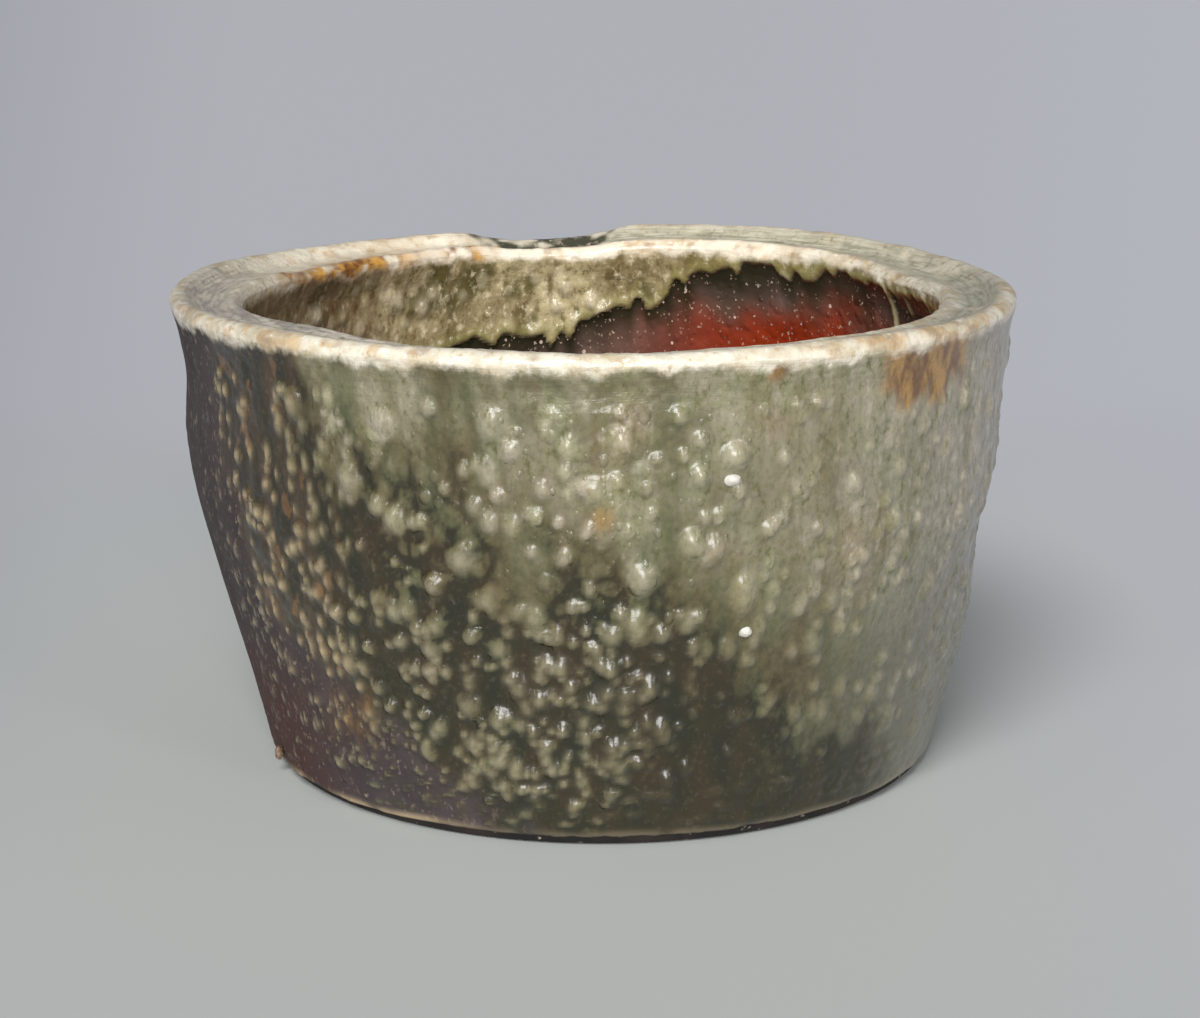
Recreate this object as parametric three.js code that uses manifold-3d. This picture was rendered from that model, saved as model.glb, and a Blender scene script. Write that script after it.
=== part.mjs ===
// Waste water bowl of wood-fired stoneware, in millimetres, with +Z up.
// The origin is the centre of the flat foot, so the bowl stands on the plane z = 0.
// Three clay members are luted together: a slab base, a wall and an inturned dished rim.
// Ash from the kiln melted over them as glass, with feldspar and grit held in it.
import * as THREE from 'three';
import { mergeVertices } from 'three/addons/utils/BufferGeometryUtils.js';
import Module from 'manifold-3d';

// Body: heights are above the table, radii are from the bowl's own axis.
const BOWL_HEIGHT = 90;
const AXIS_LEAN = -1.9;
const SLAB_THICKNESS = 7;
const FOOT_UNDERCUT = 3;
const FOOT_BEVEL_HEIGHT = 1.6;
const WALL_FOOT_RADIUS = 66.6;
const SHOULDER_RADIUS = 77;
const SHOULDER_HEIGHT = 54;
const SHOULDER_ROUNDING = 6;
const NECK_RADIUS = 79;
const WALL_THICKNESS = 6;
const WALL_TOP_THICKNESS = 9.6;
const WALL_TOP_TAPER = 18;
const FLOOR_COVE = 6;
const HAND_WAVE = 0.5;

// Places where a hand pressed the whole wall in: under the rim on the left, and low on the
// right. Each fades round the bowl by its spread in degrees and along the height by its reach.
const PRESSED_PLACES = [
  { direction: 185, height: 75, spread: 30, reach: 7, depth: 1.1 },
  { direction: 352, height: 45, spread: 20, reach: 9, depth: 1.7 },
];

// Rim: a collar folded inwards, flaring to a round outer edge, with a dished face.
const RIM_HEIGHT = 10;
const FLANGE_WIDTH = 14;
const RIM_FLARE = 1.3;
const EDGE_ROUNDING = 2.4;
const CHANNEL_DEPTH = 2.4;
const LIP_RISE = 0.7;
const LIP_ROUNDING = 1.8;

// The rim's hand-made waves: a long swell at the back right, and a flat dip beside it that
// runs out towards the lip.
const SWELL_HEIGHT = 1.7;
const SWELL_DIRECTION = 58;
const SWELL_SPREAD = 30;
const DIP_DEPTH = 2.4;
const DIP_DIRECTION = 98;
const DIP_SPREAD = 11;
const DIP_LIP_SHARE = 0.6;

// Places where fingers pressed the lip further in and down, by direction and spread.
const LIP_FOLDS = [
  { direction: 222, spread: 14, inward: 2, down: -0.5 },
  { direction: 148, spread: 18, inward: 2, down: 0.7 },
  { direction: 20, spread: 12, inward: 1.5, down: 1.1 },
];

// Ash glaze: a thin coat outside, and a band inside that ends in runs.
const GLAZE_THICKNESS = 0.8;
const RUN_RELIEF = 0.5;
const RUN_COUNT = 11;
const GLAZE_FOOT_HEIGHT = 2;
const SEAM_GROOVE = 0.35;
const SEAM_WIDTH = 1.2;
const BAND_SHALLOW = 4;
const BAND_DEEP = 28;
const BAND_SHALLOW_DIRECTION = 50;
const BAND_RUN_LENGTH = 3;
const DRIP_LENGTH = 9;
const DRIP_DIRECTION = 27;
const DRIP_SPREAD = 5;

// Stones and grit, each placed by its direction and its height.
const STONES = [
  { name: 'feldspar_stone_upper', direction: 287, height: 68, radius: 1.9, tall: 1.3 },
  { name: 'feldspar_stone_lower', direction: 290, height: 40.5, radius: 1.6, tall: 1.2 },
];
const STONE_PROJECTION = 0.5;
const GRITS = [
  { name: 'kiln_grit_left', direction: 204, height: 4.4, width: 1.5, tall: 2 },
  { name: 'kiln_grit_right', direction: 6, height: 5, width: 1.3, tall: 1 },
];

const FIT_GAP = 0.3;
const SEGMENTS = 84;
const CURVE_STEPS = 4;
const BAND_STEPS = 4;

const SEAT_HEIGHT = BOWL_HEIGHT - RIM_HEIGHT;
const COAT_DEPTH = GLAZE_THICKNESS + FIT_GAP;
const RIM_RADIUS = NECK_RADIUS + RIM_FLARE;

const radians = THREE.MathUtils.degToRad;

// A hump of height 1 at one direction, in degrees, that fades on either side. Power 2 makes
// it round, and power 4 gives it a flat top.
function hump(angle, direction, spread, power = 2) {
  const away = THREE.MathUtils.euclideanModulo(angle - direction + 180, 360) - 180;
  return Math.exp(-(Math.abs(away / spread) ** power));
}

// The outer surface of the glazed wall: two straight drafts that meet in a rounded shoulder.
function skinRadius(height) {
  const rise = height - SHOULDER_HEIGHT;
  const lowerDraft = (SHOULDER_RADIUS - WALL_FOOT_RADIUS) / (SHOULDER_HEIGHT - SLAB_THICKNESS);
  const upperDraft = (NECK_RADIUS - SHOULDER_RADIUS) / (SEAT_HEIGHT - SHOULDER_HEIGHT);
  const inBend = Math.abs(rise) < SHOULDER_ROUNDING;
  const bend = inBend
    ? (rise ** 2 + SHOULDER_ROUNDING ** 2) / (2 * SHOULDER_ROUNDING)
    : Math.abs(rise);
  const mean = (lowerDraft + upperDraft) / 2;
  const half = (lowerDraft - upperDraft) / 2;
  return SHOULDER_RADIUS + mean * rise - half * bend;
}

function clayRadius(height) {
  return skinRadius(height) - COAT_DEPTH;
}

// The clay wall keeps one thickness and thickens in a straight taper under the rim's seat.
function innerRadius(height) {
  const taper = THREE.MathUtils.clamp((height - SEAT_HEIGHT) / WALL_TOP_TAPER + 1, 0, 1);
  return clayRadius(height) - WALL_THICKNESS - (WALL_TOP_THICKNESS - WALL_THICKNESS) * taper;
}

// How far the hands left the wall out of round: a slow wave that climbs round the bowl, less
// the places that were pressed in.
function handWave(way, height) {
  const climb = Math.PI * height / BOWL_HEIGHT;
  const angle = THREE.MathUtils.radToDeg(way);
  const pressed = PRESSED_PLACES.reduce((sum, place) => {
    const along = Math.exp(-(((height - place.height) / place.reach) ** 2));
    return sum + place.depth * hump(angle, place.direction, place.spread) * along;
  }, 0);
  return HAND_WAVE * Math.sin(climb) * Math.sin(3 * way + 2 * climb) - pressed;
}

// Heights of the profile points of the wall, denser in the shoulder's bend.
function wallHeights(from, to) {
  const bendStart = SHOULDER_HEIGHT - SHOULDER_ROUNDING;
  const bendEnd = SHOULDER_HEIGHT + SHOULDER_ROUNDING;
  return [from, (from + bendStart) / 2, bendStart, SHOULDER_HEIGHT, bendEnd, to];
}

// How the fingers moved the lip at one direction: 'inward' or 'down'.
function lipFold(angle, measure) {
  const shares = LIP_FOLDS.map((fold) => fold[measure] * hump(angle, fold.direction, fold.spread));
  return shares.reduce((sum, share) => sum + share, 0);
}

// How far the rim rises or falls, from its outer edge at toLip 0 to its lip at toLip 1.
function rimWave(angle, toLip) {
  const swell = SWELL_HEIGHT * hump(angle, SWELL_DIRECTION, SWELL_SPREAD);
  const dip = DIP_DEPTH * hump(angle, DIP_DIRECTION, DIP_SPREAD, 4);
  return swell - dip * (1 - (1 - DIP_LIP_SHARE) * toLip) - lipFold(angle, 'down') * toLip;
}

// Depth of the inside ash band under the rim's seat: shallow towards the flame side,
// deep on the other, ending in runs, with one long drip.
function bandDepth(angle) {
  const turned = radians(angle - BAND_SHALLOW_DIRECTION);
  const share = (1 - Math.cos(turned)) / 2;
  const run = BAND_RUN_LENGTH * (1 + Math.sin(radians(RUN_COUNT * angle))) / 2;
  const drip = DRIP_LENGTH * hump(angle, DRIP_DIRECTION, DRIP_SPREAD);
  return BAND_SHALLOW + (BAND_DEEP - BAND_SHALLOW) * share + run + drip;
}

// Turns the faces of a closed geometry outwards.
function faceOut(geometry) {
  const place = geometry.getAttribute('position');
  const index = geometry.index;
  const [a, b, c] = [new THREE.Vector3(), new THREE.Vector3(), new THREE.Vector3()];
  let volume = 0;
  for (let i = 0; i < index.count; i += 3) {
    a.fromBufferAttribute(place, index.getX(i));
    b.fromBufferAttribute(place, index.getX(i + 1));
    c.fromBufferAttribute(place, index.getX(i + 2));
    volume += a.dot(b.cross(c));
  }
  if (volume < 0) {
    for (let i = 0; i < index.count; i += 3) {
      const first = index.getX(i);
      index.setX(i, index.getX(i + 1));
      index.setX(i + 1, first);
    }
  }
  geometry.computeVertexNormals();
  return geometry;
}

// Spins a profile of (radius, height) points round +Z, then moves every point
// by a shaping rule, by the hand wave and by the lean of the bowl's axis.
function turn(profile, shape = (radius, angle, height) => [radius, height]) {
  const geometry = new THREE.LatheGeometry(profile, SEGMENTS);
  geometry.rotateX(Math.PI / 2);
  const place = geometry.getAttribute('position');
  for (let i = 0; i < place.count; i += 1) {
    const way = Math.atan2(place.getY(i), place.getX(i));
    const radius = Math.hypot(place.getX(i), place.getY(i));
    const [newRadius, newHeight] = shape(radius, THREE.MathUtils.radToDeg(way), place.getZ(i));
    const lean = AXIS_LEAN * newHeight / BOWL_HEIGHT;
    const waved = newRadius < FIT_GAP ? newRadius : newRadius + handWave(way, newHeight);
    place.setXYZ(i, waved * Math.cos(way) + lean, waved * Math.sin(way), newHeight);
  }
  geometry.deleteAttribute('uv');
  geometry.deleteAttribute('normal');
  return faceOut(mergeVertices(geometry));
}

function closed(points) {
  return [...points, points[0].clone()];
}

const wasm = await Module();
wasm.setup();

function toSolid(geometry) {
  const bare = geometry.clone();
  bare.deleteAttribute('normal');
  bare.deleteAttribute('uv');
  const merged = faceOut(mergeVertices(bare));
  return new wasm.Manifold(new wasm.Mesh({
    numProp: 3,
    vertProperties: new Float32Array(merged.getAttribute('position').array),
    triVerts: new Uint32Array(merged.index.array),
  }));
}

function toGeometry(solid) {
  const mesh = solid.getMesh();
  const geometry = new THREE.BufferGeometry();
  geometry.setAttribute('position', new THREE.BufferAttribute(mesh.vertProperties, 3));
  geometry.setIndex(new THREE.BufferAttribute(mesh.triVerts, 1));
  geometry.computeVertexNormals();
  return geometry;
}

const bowl = new THREE.Group();
bowl.name = 'waste_water_bowl';

function addPiece(name, geometry, color, roughness) {
  const material = new THREE.MeshStandardMaterial({ color, roughness, metalness: 0 });
  const piece = new THREE.Mesh(geometry, material);
  piece.name = name;
  bowl.add(piece);
}

const BARE_CLAY = 0x6b4a38;
const SCORCHED_CLAY = 0x4a3a30;
const CREAM_GLAZE = 0xd8ccb2;
const OLIVE_GLAZE = 0x8b8568;
const AMBER_GLAZE = 0x9b8a69;
const FELDSPAR = 0xe8e2d2;
const GRIT = 0x9c8f78;

// Base slab: a rolled disc with a flat underside and a bevelled, undercut foot edge.
function slabGeometry() {
  const edge = new THREE.Path();
  edge.moveTo(clayRadius(0) - FOOT_UNDERCUT, 0);
  edge.quadraticCurveTo(
    clayRadius(FOOT_BEVEL_HEIGHT), 0,
    clayRadius(FOOT_BEVEL_HEIGHT), FOOT_BEVEL_HEIGHT,
  );
  edge.lineTo(clayRadius(SLAB_THICKNESS), SLAB_THICKNESS);
  const bottom = new THREE.Vector2(0, 0);
  const top = new THREE.Vector2(0, SLAB_THICKNESS);
  return turn([bottom, ...edge.getPoints(CURVE_STEPS), top]);
}

// Wall: stands flat on the slab, with a cove inside at the floor and a flat seat on top.
function wallGeometry() {
  const outside = wallHeights(SLAB_THICKNESS, SEAT_HEIGHT)
    .map((height) => new THREE.Vector2(clayRadius(height), height));
  const coveTop = SLAB_THICKNESS + FLOOR_COVE;
  const inside = [...wallHeights(coveTop, SEAT_HEIGHT - WALL_TOP_TAPER), SEAT_HEIGHT]
    .map((height) => new THREE.Vector2(innerRadius(height), height))
    .reverse();
  const cove = new THREE.Path();
  cove.moveTo(innerRadius(coveTop), coveTop);
  cove.quadraticCurveTo(
    innerRadius(SLAB_THICKNESS), SLAB_THICKNESS + FIT_GAP,
    innerRadius(SLAB_THICKNESS) - FLOOR_COVE, SLAB_THICKNESS + FIT_GAP,
  );
  const heel = new THREE.Vector2(innerRadius(SLAB_THICKNESS) - FLOOR_COVE, SLAB_THICKNESS);
  return turn(closed([...outside, ...inside, ...cove.getPoints(CURVE_STEPS).slice(1), heel]));
}

// Rim collar: flat seat, flared outside, round edge, dished channel, rounded lip and the
// slope under it that runs on into the wall.
function rimGeometry() {
  const edgeX = RIM_RADIUS - EDGE_ROUNDING;
  const edgeZ = BOWL_HEIGHT - EDGE_ROUNDING;
  const lipX = RIM_RADIUS - FLANGE_WIDTH + LIP_ROUNDING;
  const channelZ = BOWL_HEIGHT - CHANNEL_DEPTH;
  const lipTop = channelZ + LIP_RISE;
  const lipZ = lipTop - LIP_ROUNDING;
  const channelX = (edgeX + lipX) / 2;

  const section = new THREE.Path();
  section.moveTo(NECK_RADIUS, SEAT_HEIGHT);
  section.quadraticCurveTo(NECK_RADIUS, (SEAT_HEIGHT + edgeZ) / 2, RIM_RADIUS, edgeZ);
  section.absarc(edgeX, edgeZ, EDGE_ROUNDING, 0, Math.PI / 2, false);
  section.bezierCurveTo(
    edgeX - EDGE_ROUNDING, BOWL_HEIGHT,
    channelX + EDGE_ROUNDING, channelZ,
    channelX, channelZ,
  );
  section.quadraticCurveTo((channelX + lipX) / 2, channelZ, lipX, lipTop);
  section.absarc(lipX, lipZ, LIP_ROUNDING, Math.PI / 2, Math.PI, false);
  section.quadraticCurveTo(
    lipX - LIP_ROUNDING, (SEAT_HEIGHT + lipZ) / 2,
    innerRadius(SEAT_HEIGHT), SEAT_HEIGHT,
  );

  const stretches = section.curves.map((curve) => curve.getPoints(CURVE_STEPS).slice(1));
  const points = [new THREE.Vector2(NECK_RADIUS, SEAT_HEIGHT), ...stretches.flat()];
  return turn(closed(points), (radius, angle, height) => {
    const share = THREE.MathUtils.smoothstep(height, SEAT_HEIGHT, BOWL_HEIGHT);
    const toLip = THREE.MathUtils.smoothstep(RIM_RADIUS - radius, 0, FLANGE_WIDTH);
    const inward = lipFold(angle, 'inward') * toLip;
    return [radius - inward * share, height + rimWave(angle, toLip) * share];
  });
}

// Outside glaze: a skin that follows the clay and thickens outwards in vertical runs. The
// joint of wall and slab shows through it as a faint groove.
function outsideGlazeGeometry() {
  const seamHeights = [SLAB_THICKNESS - SEAM_WIDTH, SLAB_THICKNESS, SLAB_THICKNESS + SEAM_WIDTH];
  const [foot, ...above] = wallHeights(GLAZE_FOOT_HEIGHT, SEAT_HEIGHT - FIT_GAP);
  const heights = [foot, ...seamHeights, ...above];
  const outer = heights.map((height) => new THREE.Vector2(skinRadius(height), height));
  const inner = heights
    .map((height) => new THREE.Vector2(skinRadius(height) - GLAZE_THICKNESS, height))
    .reverse();
  return turn(closed([...outer, ...inner]), (radius, angle, height) => {
    const isOuter = radius > skinRadius(height) - GLAZE_THICKNESS / 2;
    const wave = Math.sin(radians(RUN_COUNT * angle)) * Math.sin(radians(3 * angle));
    const groove = height === SLAB_THICKNESS ? SEAM_GROOVE : 0;
    return [isOuter ? radius - RUN_RELIEF * (1 - wave) / 2 - groove : radius, height];
  });
}

// Inside glaze: a band under the rim whose lower edge hangs in runs.
function insideGlazeGeometry() {
  const top = SEAT_HEIGHT - FIT_GAP;
  const bottom = SEAT_HEIGHT - BAND_SHALLOW;
  const outer = [];
  const inner = [];
  for (let step = 0; step <= BAND_STEPS; step += 1) {
    const height = bottom + (top - bottom) * step / BAND_STEPS;
    outer.push(new THREE.Vector2(innerRadius(height) - FIT_GAP, height));
    inner.unshift(new THREE.Vector2(innerRadius(height) - COAT_DEPTH, height));
  }
  return turn(closed([...outer, ...inner]), (radius, angle, height) => {
    const stretch = (bandDepth(angle) - FIT_GAP) / (BAND_SHALLOW - FIT_GAP);
    const newHeight = top - (top - height) * stretch;
    return [radius + innerRadius(newHeight) - innerRadius(height), newHeight];
  });
}

// A point on the wall by direction and height, at a given distance from the bowl's own axis.
function placeOnWall(direction, height, radius) {
  const lean = AXIS_LEAN * height / BOWL_HEIGHT;
  const way = radians(direction);
  const waved = radius + handWave(way, height);
  return new THREE.Vector3(waved * Math.cos(way) + lean, waved * Math.sin(way), height);
}

function ballAt(centre, acrossRadius, tallRadius) {
  const ball = new THREE.SphereGeometry(1, 16, 10);
  ball.rotateX(Math.PI / 2);
  ball.scale(acrossRadius, acrossRadius, tallRadius);
  ball.translate(centre.x, centre.y, centre.z);
  return toSolid(ball);
}

// The body's outline grown by the fit gap, which cuts a seat into what lies against it.
function bodyCutter(surface) {
  const low = -BOWL_HEIGHT;
  const outline = [low, ...wallHeights(0, SEAT_HEIGHT)]
    .map((height) => new THREE.Vector2(surface(Math.max(height, 0)) + FIT_GAP, height));
  return toSolid(turn([new THREE.Vector2(0, low), ...outline, new THREE.Vector2(0, SEAT_HEIGHT)]));
}

let outsideGlaze = toSolid(outsideGlazeGeometry());
const clayCutter = bodyCutter(clayRadius);
for (const stone of STONES) {
  const depth = skinRadius(stone.height) + STONE_PROJECTION - stone.radius;
  const centre = placeOnWall(stone.direction, stone.height, depth);
  const pocket = ballAt(centre, stone.radius + FIT_GAP, stone.tall + FIT_GAP);
  outsideGlaze = outsideGlaze.subtract(pocket);
  const grain = ballAt(centre, stone.radius, stone.tall).subtract(clayCutter);
  addPiece(stone.name, toGeometry(grain), FELDSPAR, 0.45);
}

const skinCutter = bodyCutter(skinRadius);
for (const grit of GRITS) {
  const centre = placeOnWall(grit.direction, grit.height, skinRadius(grit.height));
  const lump = ballAt(centre, grit.width, grit.tall).subtract(skinCutter);
  addPiece(grit.name, toGeometry(lump), GRIT, 0.9);
}

addPiece('base_slab', slabGeometry(), BARE_CLAY, 0.85);
addPiece('wall', wallGeometry(), SCORCHED_CLAY, 0.8);
addPiece('rim', rimGeometry(), CREAM_GLAZE, 0.35);
addPiece('ash_glaze_outside', toGeometry(outsideGlaze), OLIVE_GLAZE, 0.3);
addPiece('ash_glaze_inside', insideGlazeGeometry(), AMBER_GLAZE, 0.3);

export default bowl;
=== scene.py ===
# %% [markdown]
# # A wood-fired waste water bowl
# The bowl is one pot made of three clay members, a slab, a wall and an inturned rim, with
# natural ash glaze melted over them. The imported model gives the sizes. Here every member gets
# its fired surface: ash beads, runs, a crusty cream rim and a scorched side. Lengths in this
# lesson are in millimetres until a mesh is made, and then in metres.

# %% Load the frame
import math

import bmesh
import bpy
import numpy as np
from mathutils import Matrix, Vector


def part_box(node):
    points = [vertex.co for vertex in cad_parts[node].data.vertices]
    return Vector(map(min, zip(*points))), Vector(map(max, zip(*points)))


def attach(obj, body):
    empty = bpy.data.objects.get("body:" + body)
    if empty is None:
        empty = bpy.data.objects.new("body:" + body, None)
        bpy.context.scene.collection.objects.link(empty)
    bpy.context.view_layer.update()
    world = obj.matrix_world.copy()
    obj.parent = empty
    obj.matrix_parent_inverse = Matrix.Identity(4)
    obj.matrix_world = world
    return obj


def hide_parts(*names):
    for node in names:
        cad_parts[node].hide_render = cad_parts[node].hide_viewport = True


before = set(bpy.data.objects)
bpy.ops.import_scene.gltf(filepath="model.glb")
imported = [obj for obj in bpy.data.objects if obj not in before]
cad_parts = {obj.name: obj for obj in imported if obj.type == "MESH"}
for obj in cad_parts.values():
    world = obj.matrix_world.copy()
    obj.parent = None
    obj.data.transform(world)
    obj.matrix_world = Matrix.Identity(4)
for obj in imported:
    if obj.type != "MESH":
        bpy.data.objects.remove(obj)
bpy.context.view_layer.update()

MM = 0.001

# %% [markdown]
# The photograph was taken from a little above the rim. A camera fitted to the bowl's outline
# stands 470 mm in front of its axis, 159.5 mm above the table, and looks 13.7 degrees down.

# %% Camera
CAMERA_PLACE = (-0.3, -470.0, 159.5)
CAMERA_PITCH = 13.7
IMAGE_WIDTH = 1200
FOCAL_PIXELS = 2475
SENSOR_WIDTH = 36.0

camera = bpy.data.objects.new("camera", bpy.data.cameras.new("camera"))
bpy.context.scene.collection.objects.link(camera)
camera.data.sensor_width = SENSOR_WIDTH
camera.data.lens = FOCAL_PIXELS * SENSOR_WIDTH / IMAGE_WIDTH
camera.data.clip_start = 0.01
camera.location = [value * MM for value in CAMERA_PLACE]
camera.rotation_euler = (math.radians(90 - CAMERA_PITCH), 0, 0)
bpy.context.scene.camera = camera
bpy.context.scene.view_settings.view_transform = "Standard"
print("lens", round(camera.data.lens, 2), "mm")

# %% [markdown]
# A shader is a web of nodes. Small helpers keep the later cells short: one adds a node with
# its values or links, the others mix colours, do sums and read a stored mask.

# %% Shader helpers
def add_node(tree, kind, links=None, **settings):
    node = tree.nodes.new(kind)
    for key, value in settings.items():
        setattr(node, key, value)
    for key, value in (links or {}).items():
        socket = node.inputs[key]
        if isinstance(value, bpy.types.NodeSocket):
            tree.links.new(value, socket)
        else:
            socket.default_value = value
    return node


def colour(red, green, blue):
    return (red, green, blue, 1.0)


def mix_colour(tree, mask, first, second):
    return add_node(tree, "ShaderNodeMix", {0: mask, 6: first, 7: second}, data_type="RGBA").outputs[2]


def mix_value(tree, mask, first, second):
    return add_node(tree, "ShaderNodeMix", {0: mask, 2: first, 3: second}, data_type="FLOAT").outputs[0]


def maths(tree, operation, first, second=0.0):
    return add_node(tree, "ShaderNodeMath", {0: first, 1: second}, operation=operation).outputs[0]


def vector_maths(tree, operation, values):
    node = add_node(tree, "ShaderNodeVectorMath", values, operation=operation)
    return node.outputs["Value" if operation == "LENGTH" else "Vector"]


def object_place(tree):
    return add_node(tree, "ShaderNodeTexCoord").outputs["Object"]


def split(tree, vector):
    return add_node(tree, "ShaderNodeSeparateXYZ", {0: vector}).outputs


def join(tree, **parts):
    return add_node(tree, "ShaderNodeCombineXYZ", parts).outputs[0]


def attribute(tree, name):
    return add_node(tree, "ShaderNodeAttribute", attribute_name=name).outputs["Fac"]


def ramp(tree, value, low, high):
    limits = {"Value": value, "From Min": low, "From Max": high}
    return add_node(tree, "ShaderNodeMapRange", limits, interpolation_type="SMOOTHSTEP").outputs["Result"]


def new_material(name):
    material = bpy.data.materials.new(name)
    material.use_nodes = True
    tree = material.node_tree
    return material, tree, tree.nodes["Principled BSDF"]


# %% [markdown]
# The bowl stands on a plain pale grey sheet that runs far back. The sheet is greener near the
# bowl and bluer far away. It isn't part of the object.

# %% Floor
SHEET_REACH = 8.0
SHEET_NEAR = colour(0.525, 0.545, 0.525)
SHEET_FAR = colour(0.520, 0.530, 0.568)
# The sheet is darker to the left and lighter to the right: painted shade on one side and painted light on the
# other.
SHEET_LEFT_SHADE = colour(0.41, 0.422, 0.46)
SHEET_RIGHT_LIGHT = colour(0.553, 0.562, 0.610)

sheet_shape = bmesh.new()
bmesh.ops.create_circle(sheet_shape, cap_ends=True, segments=96, radius=SHEET_REACH)
sheet_mesh = bpy.data.meshes.new("floor_sheet")
sheet_shape.to_mesh(sheet_mesh)
sheet_shape.free()
floor_sheet = bpy.data.objects.new("floor_sheet", sheet_mesh)
bpy.context.scene.collection.objects.link(floor_sheet)
sheet_material, sheet_tree, sheet_shader = new_material("floor_sheet")
sheet_place = object_place(sheet_tree)
sheet_distance = vector_maths(sheet_tree, "LENGTH", {0: sheet_place})
sheet_colour = mix_colour(sheet_tree, ramp(sheet_tree, sheet_distance, 0.07, 0.4), SHEET_NEAR, SHEET_FAR)
sheet_aside = split(sheet_tree, sheet_place)["X"]
sheet_side = maths(sheet_tree, "DIVIDE", sheet_aside, maths(sheet_tree, "ADD", sheet_distance, 0.6))
sheet_colour = mix_colour(sheet_tree, ramp(sheet_tree, sheet_side, -0.12, -0.30), sheet_colour, SHEET_LEFT_SHADE)
sheet_colour = mix_colour(sheet_tree, ramp(sheet_tree, sheet_side, 0.04, 0.26), sheet_colour, SHEET_RIGHT_LIGHT)
sheet_tree.links.new(sheet_colour, sheet_shader.inputs["Base Color"])
sheet_shader.inputs["Roughness"].default_value = 0.8
sheet_shader.inputs["Specular IOR Level"].default_value = 0.1
sheet_mesh.materials.append(sheet_material)

# %% [markdown]
# The light is plain: an even sky, a soft lamp high in front, a wide one low in front, and two
# small ones low at the sides that glint on the beads. Far lamps light the floor evenly.

# %% Light
world = bpy.data.worlds.new("studio")
world.use_nodes = True
world.node_tree.nodes["Background"].inputs["Color"].default_value = colour(0.93, 0.96, 1.0)
world.node_tree.nodes["Background"].inputs["Strength"].default_value = 0.20
bpy.context.scene.world = world


def far_lamp(name, to_right, elevation, width, strength):
    """A far lamp, placed by its angle to the right of the camera and over the floor."""
    lamp = bpy.data.lights.new(name, "SUN")
    lamp.angle = math.radians(width)
    lamp.energy = strength
    holder = bpy.data.objects.new(name, lamp)
    holder.rotation_euler = (math.radians(90 - elevation), 0, math.radians(to_right))
    bpy.context.scene.collection.objects.link(holder)


far_lamp("key_light", -14, 44, 24, 2.15)
far_lamp("front_light", 6, 14, 24, 1.6)
far_lamp("left_light", -38, 16, 9, 0.28)
far_lamp("right_light", 42, 16, 9, 0.28)

# %% [markdown]
# Every visible face of the pot lies on one section line: up the wall, over the rim, down the
# inside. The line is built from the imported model's heights with arcs and pulled curves, and
# then cut into equal steps. Where two members meet they share a point, so no seam shows.

# %% Sizes of the section
SLAB_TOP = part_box("base_slab")[1].z / MM
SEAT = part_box("rim")[0].z / MM
FOOT_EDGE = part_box("ash_glaze_outside")[0].z / MM
HEIGHT = 90.0
LEAN = -1.9
FOOT_SIDE = 66.6
SHOULDER = 77.0
SHOULDER_HEIGHT = 54.0
SHOULDER_ROUNDING = 6.0
NECK = 79.0
RIM_FLARE = 1.3
RIM_RADIUS = NECK + RIM_FLARE
EDGE_ROUNDING = 2.4
FLANGE = 14.0
CHANNEL_DEPTH = 2.4
CHANNEL_HEIGHT = HEIGHT - CHANNEL_DEPTH
LIP_RISE = 0.7
LIP_ROUNDING = 1.8
GLAZE = 1.1
WALL = 6.0
WALL_EXTRA = 3.6
TAPER = 18.0
COVE = 6.0


def skin_radius(height):
    rise = height - SHOULDER_HEIGHT
    lower = (SHOULDER - FOOT_SIDE) / (SHOULDER_HEIGHT - SLAB_TOP)
    upper = (NECK - SHOULDER) / (SEAT - SHOULDER_HEIGHT)
    rounded = (rise ** 2 + SHOULDER_ROUNDING ** 2) / (2 * SHOULDER_ROUNDING)
    bend = np.where(np.abs(rise) < SHOULDER_ROUNDING, rounded, np.abs(rise))
    return SHOULDER + (lower + upper) / 2 * rise - (lower - upper) / 2 * bend


def inside_radius(height):
    taper = np.clip((height - SEAT) / TAPER + 1, 0, 1)
    return skin_radius(height) - GLAZE - WALL - WALL_EXTRA * taper


print("slab top", round(SLAB_TOP, 2), "seat", round(SEAT, 2), "skin at 40 mm", float(skin_radius(40.0)))

# %% Section line
CURVE_POINTS = 25
FINE_STEP = 0.62
RIM_STEP = 0.45
COARSE_STEP = 1.5
FINE_DEPTH = 42.0


def arc(centre, rounding, start, end):
    turns = np.radians(np.linspace(start, end, CURVE_POINTS))
    return np.stack([centre[0] + rounding * np.cos(turns), centre[1] + rounding * np.sin(turns)], axis=1)


def pulled_curve(*corners):
    """A smooth curve from the first corner to the last, pulled by the ones between."""
    share = np.linspace(0, 1, CURVE_POINTS)[:, None]
    lines = [np.array([corner] * CURVE_POINTS, dtype=float) for corner in corners]
    while len(lines) > 1:
        lines = [first + (second - first) * share for first, second in zip(lines, lines[1:])]
    return lines[0]


def even_steps(line, spacing):
    gaps = np.hypot(*np.diff(line, axis=0).T)
    along = np.concatenate([[0], np.cumsum(gaps)])
    places = np.linspace(0, along[-1], round(along[-1] / spacing) + 1)
    return np.stack([np.interp(places, along, line[:, axis]) for axis in (0, 1)], axis=1)


FOOT_LIP_DROP = 0.8
FOOT_LIP = FOOT_EDGE - FOOT_LIP_DROP
wall_heights = np.linspace(FOOT_LIP, SEAT, 200)
outside_line = even_steps(np.stack([skin_radius(wall_heights), wall_heights], axis=1), FINE_STEP)

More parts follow.
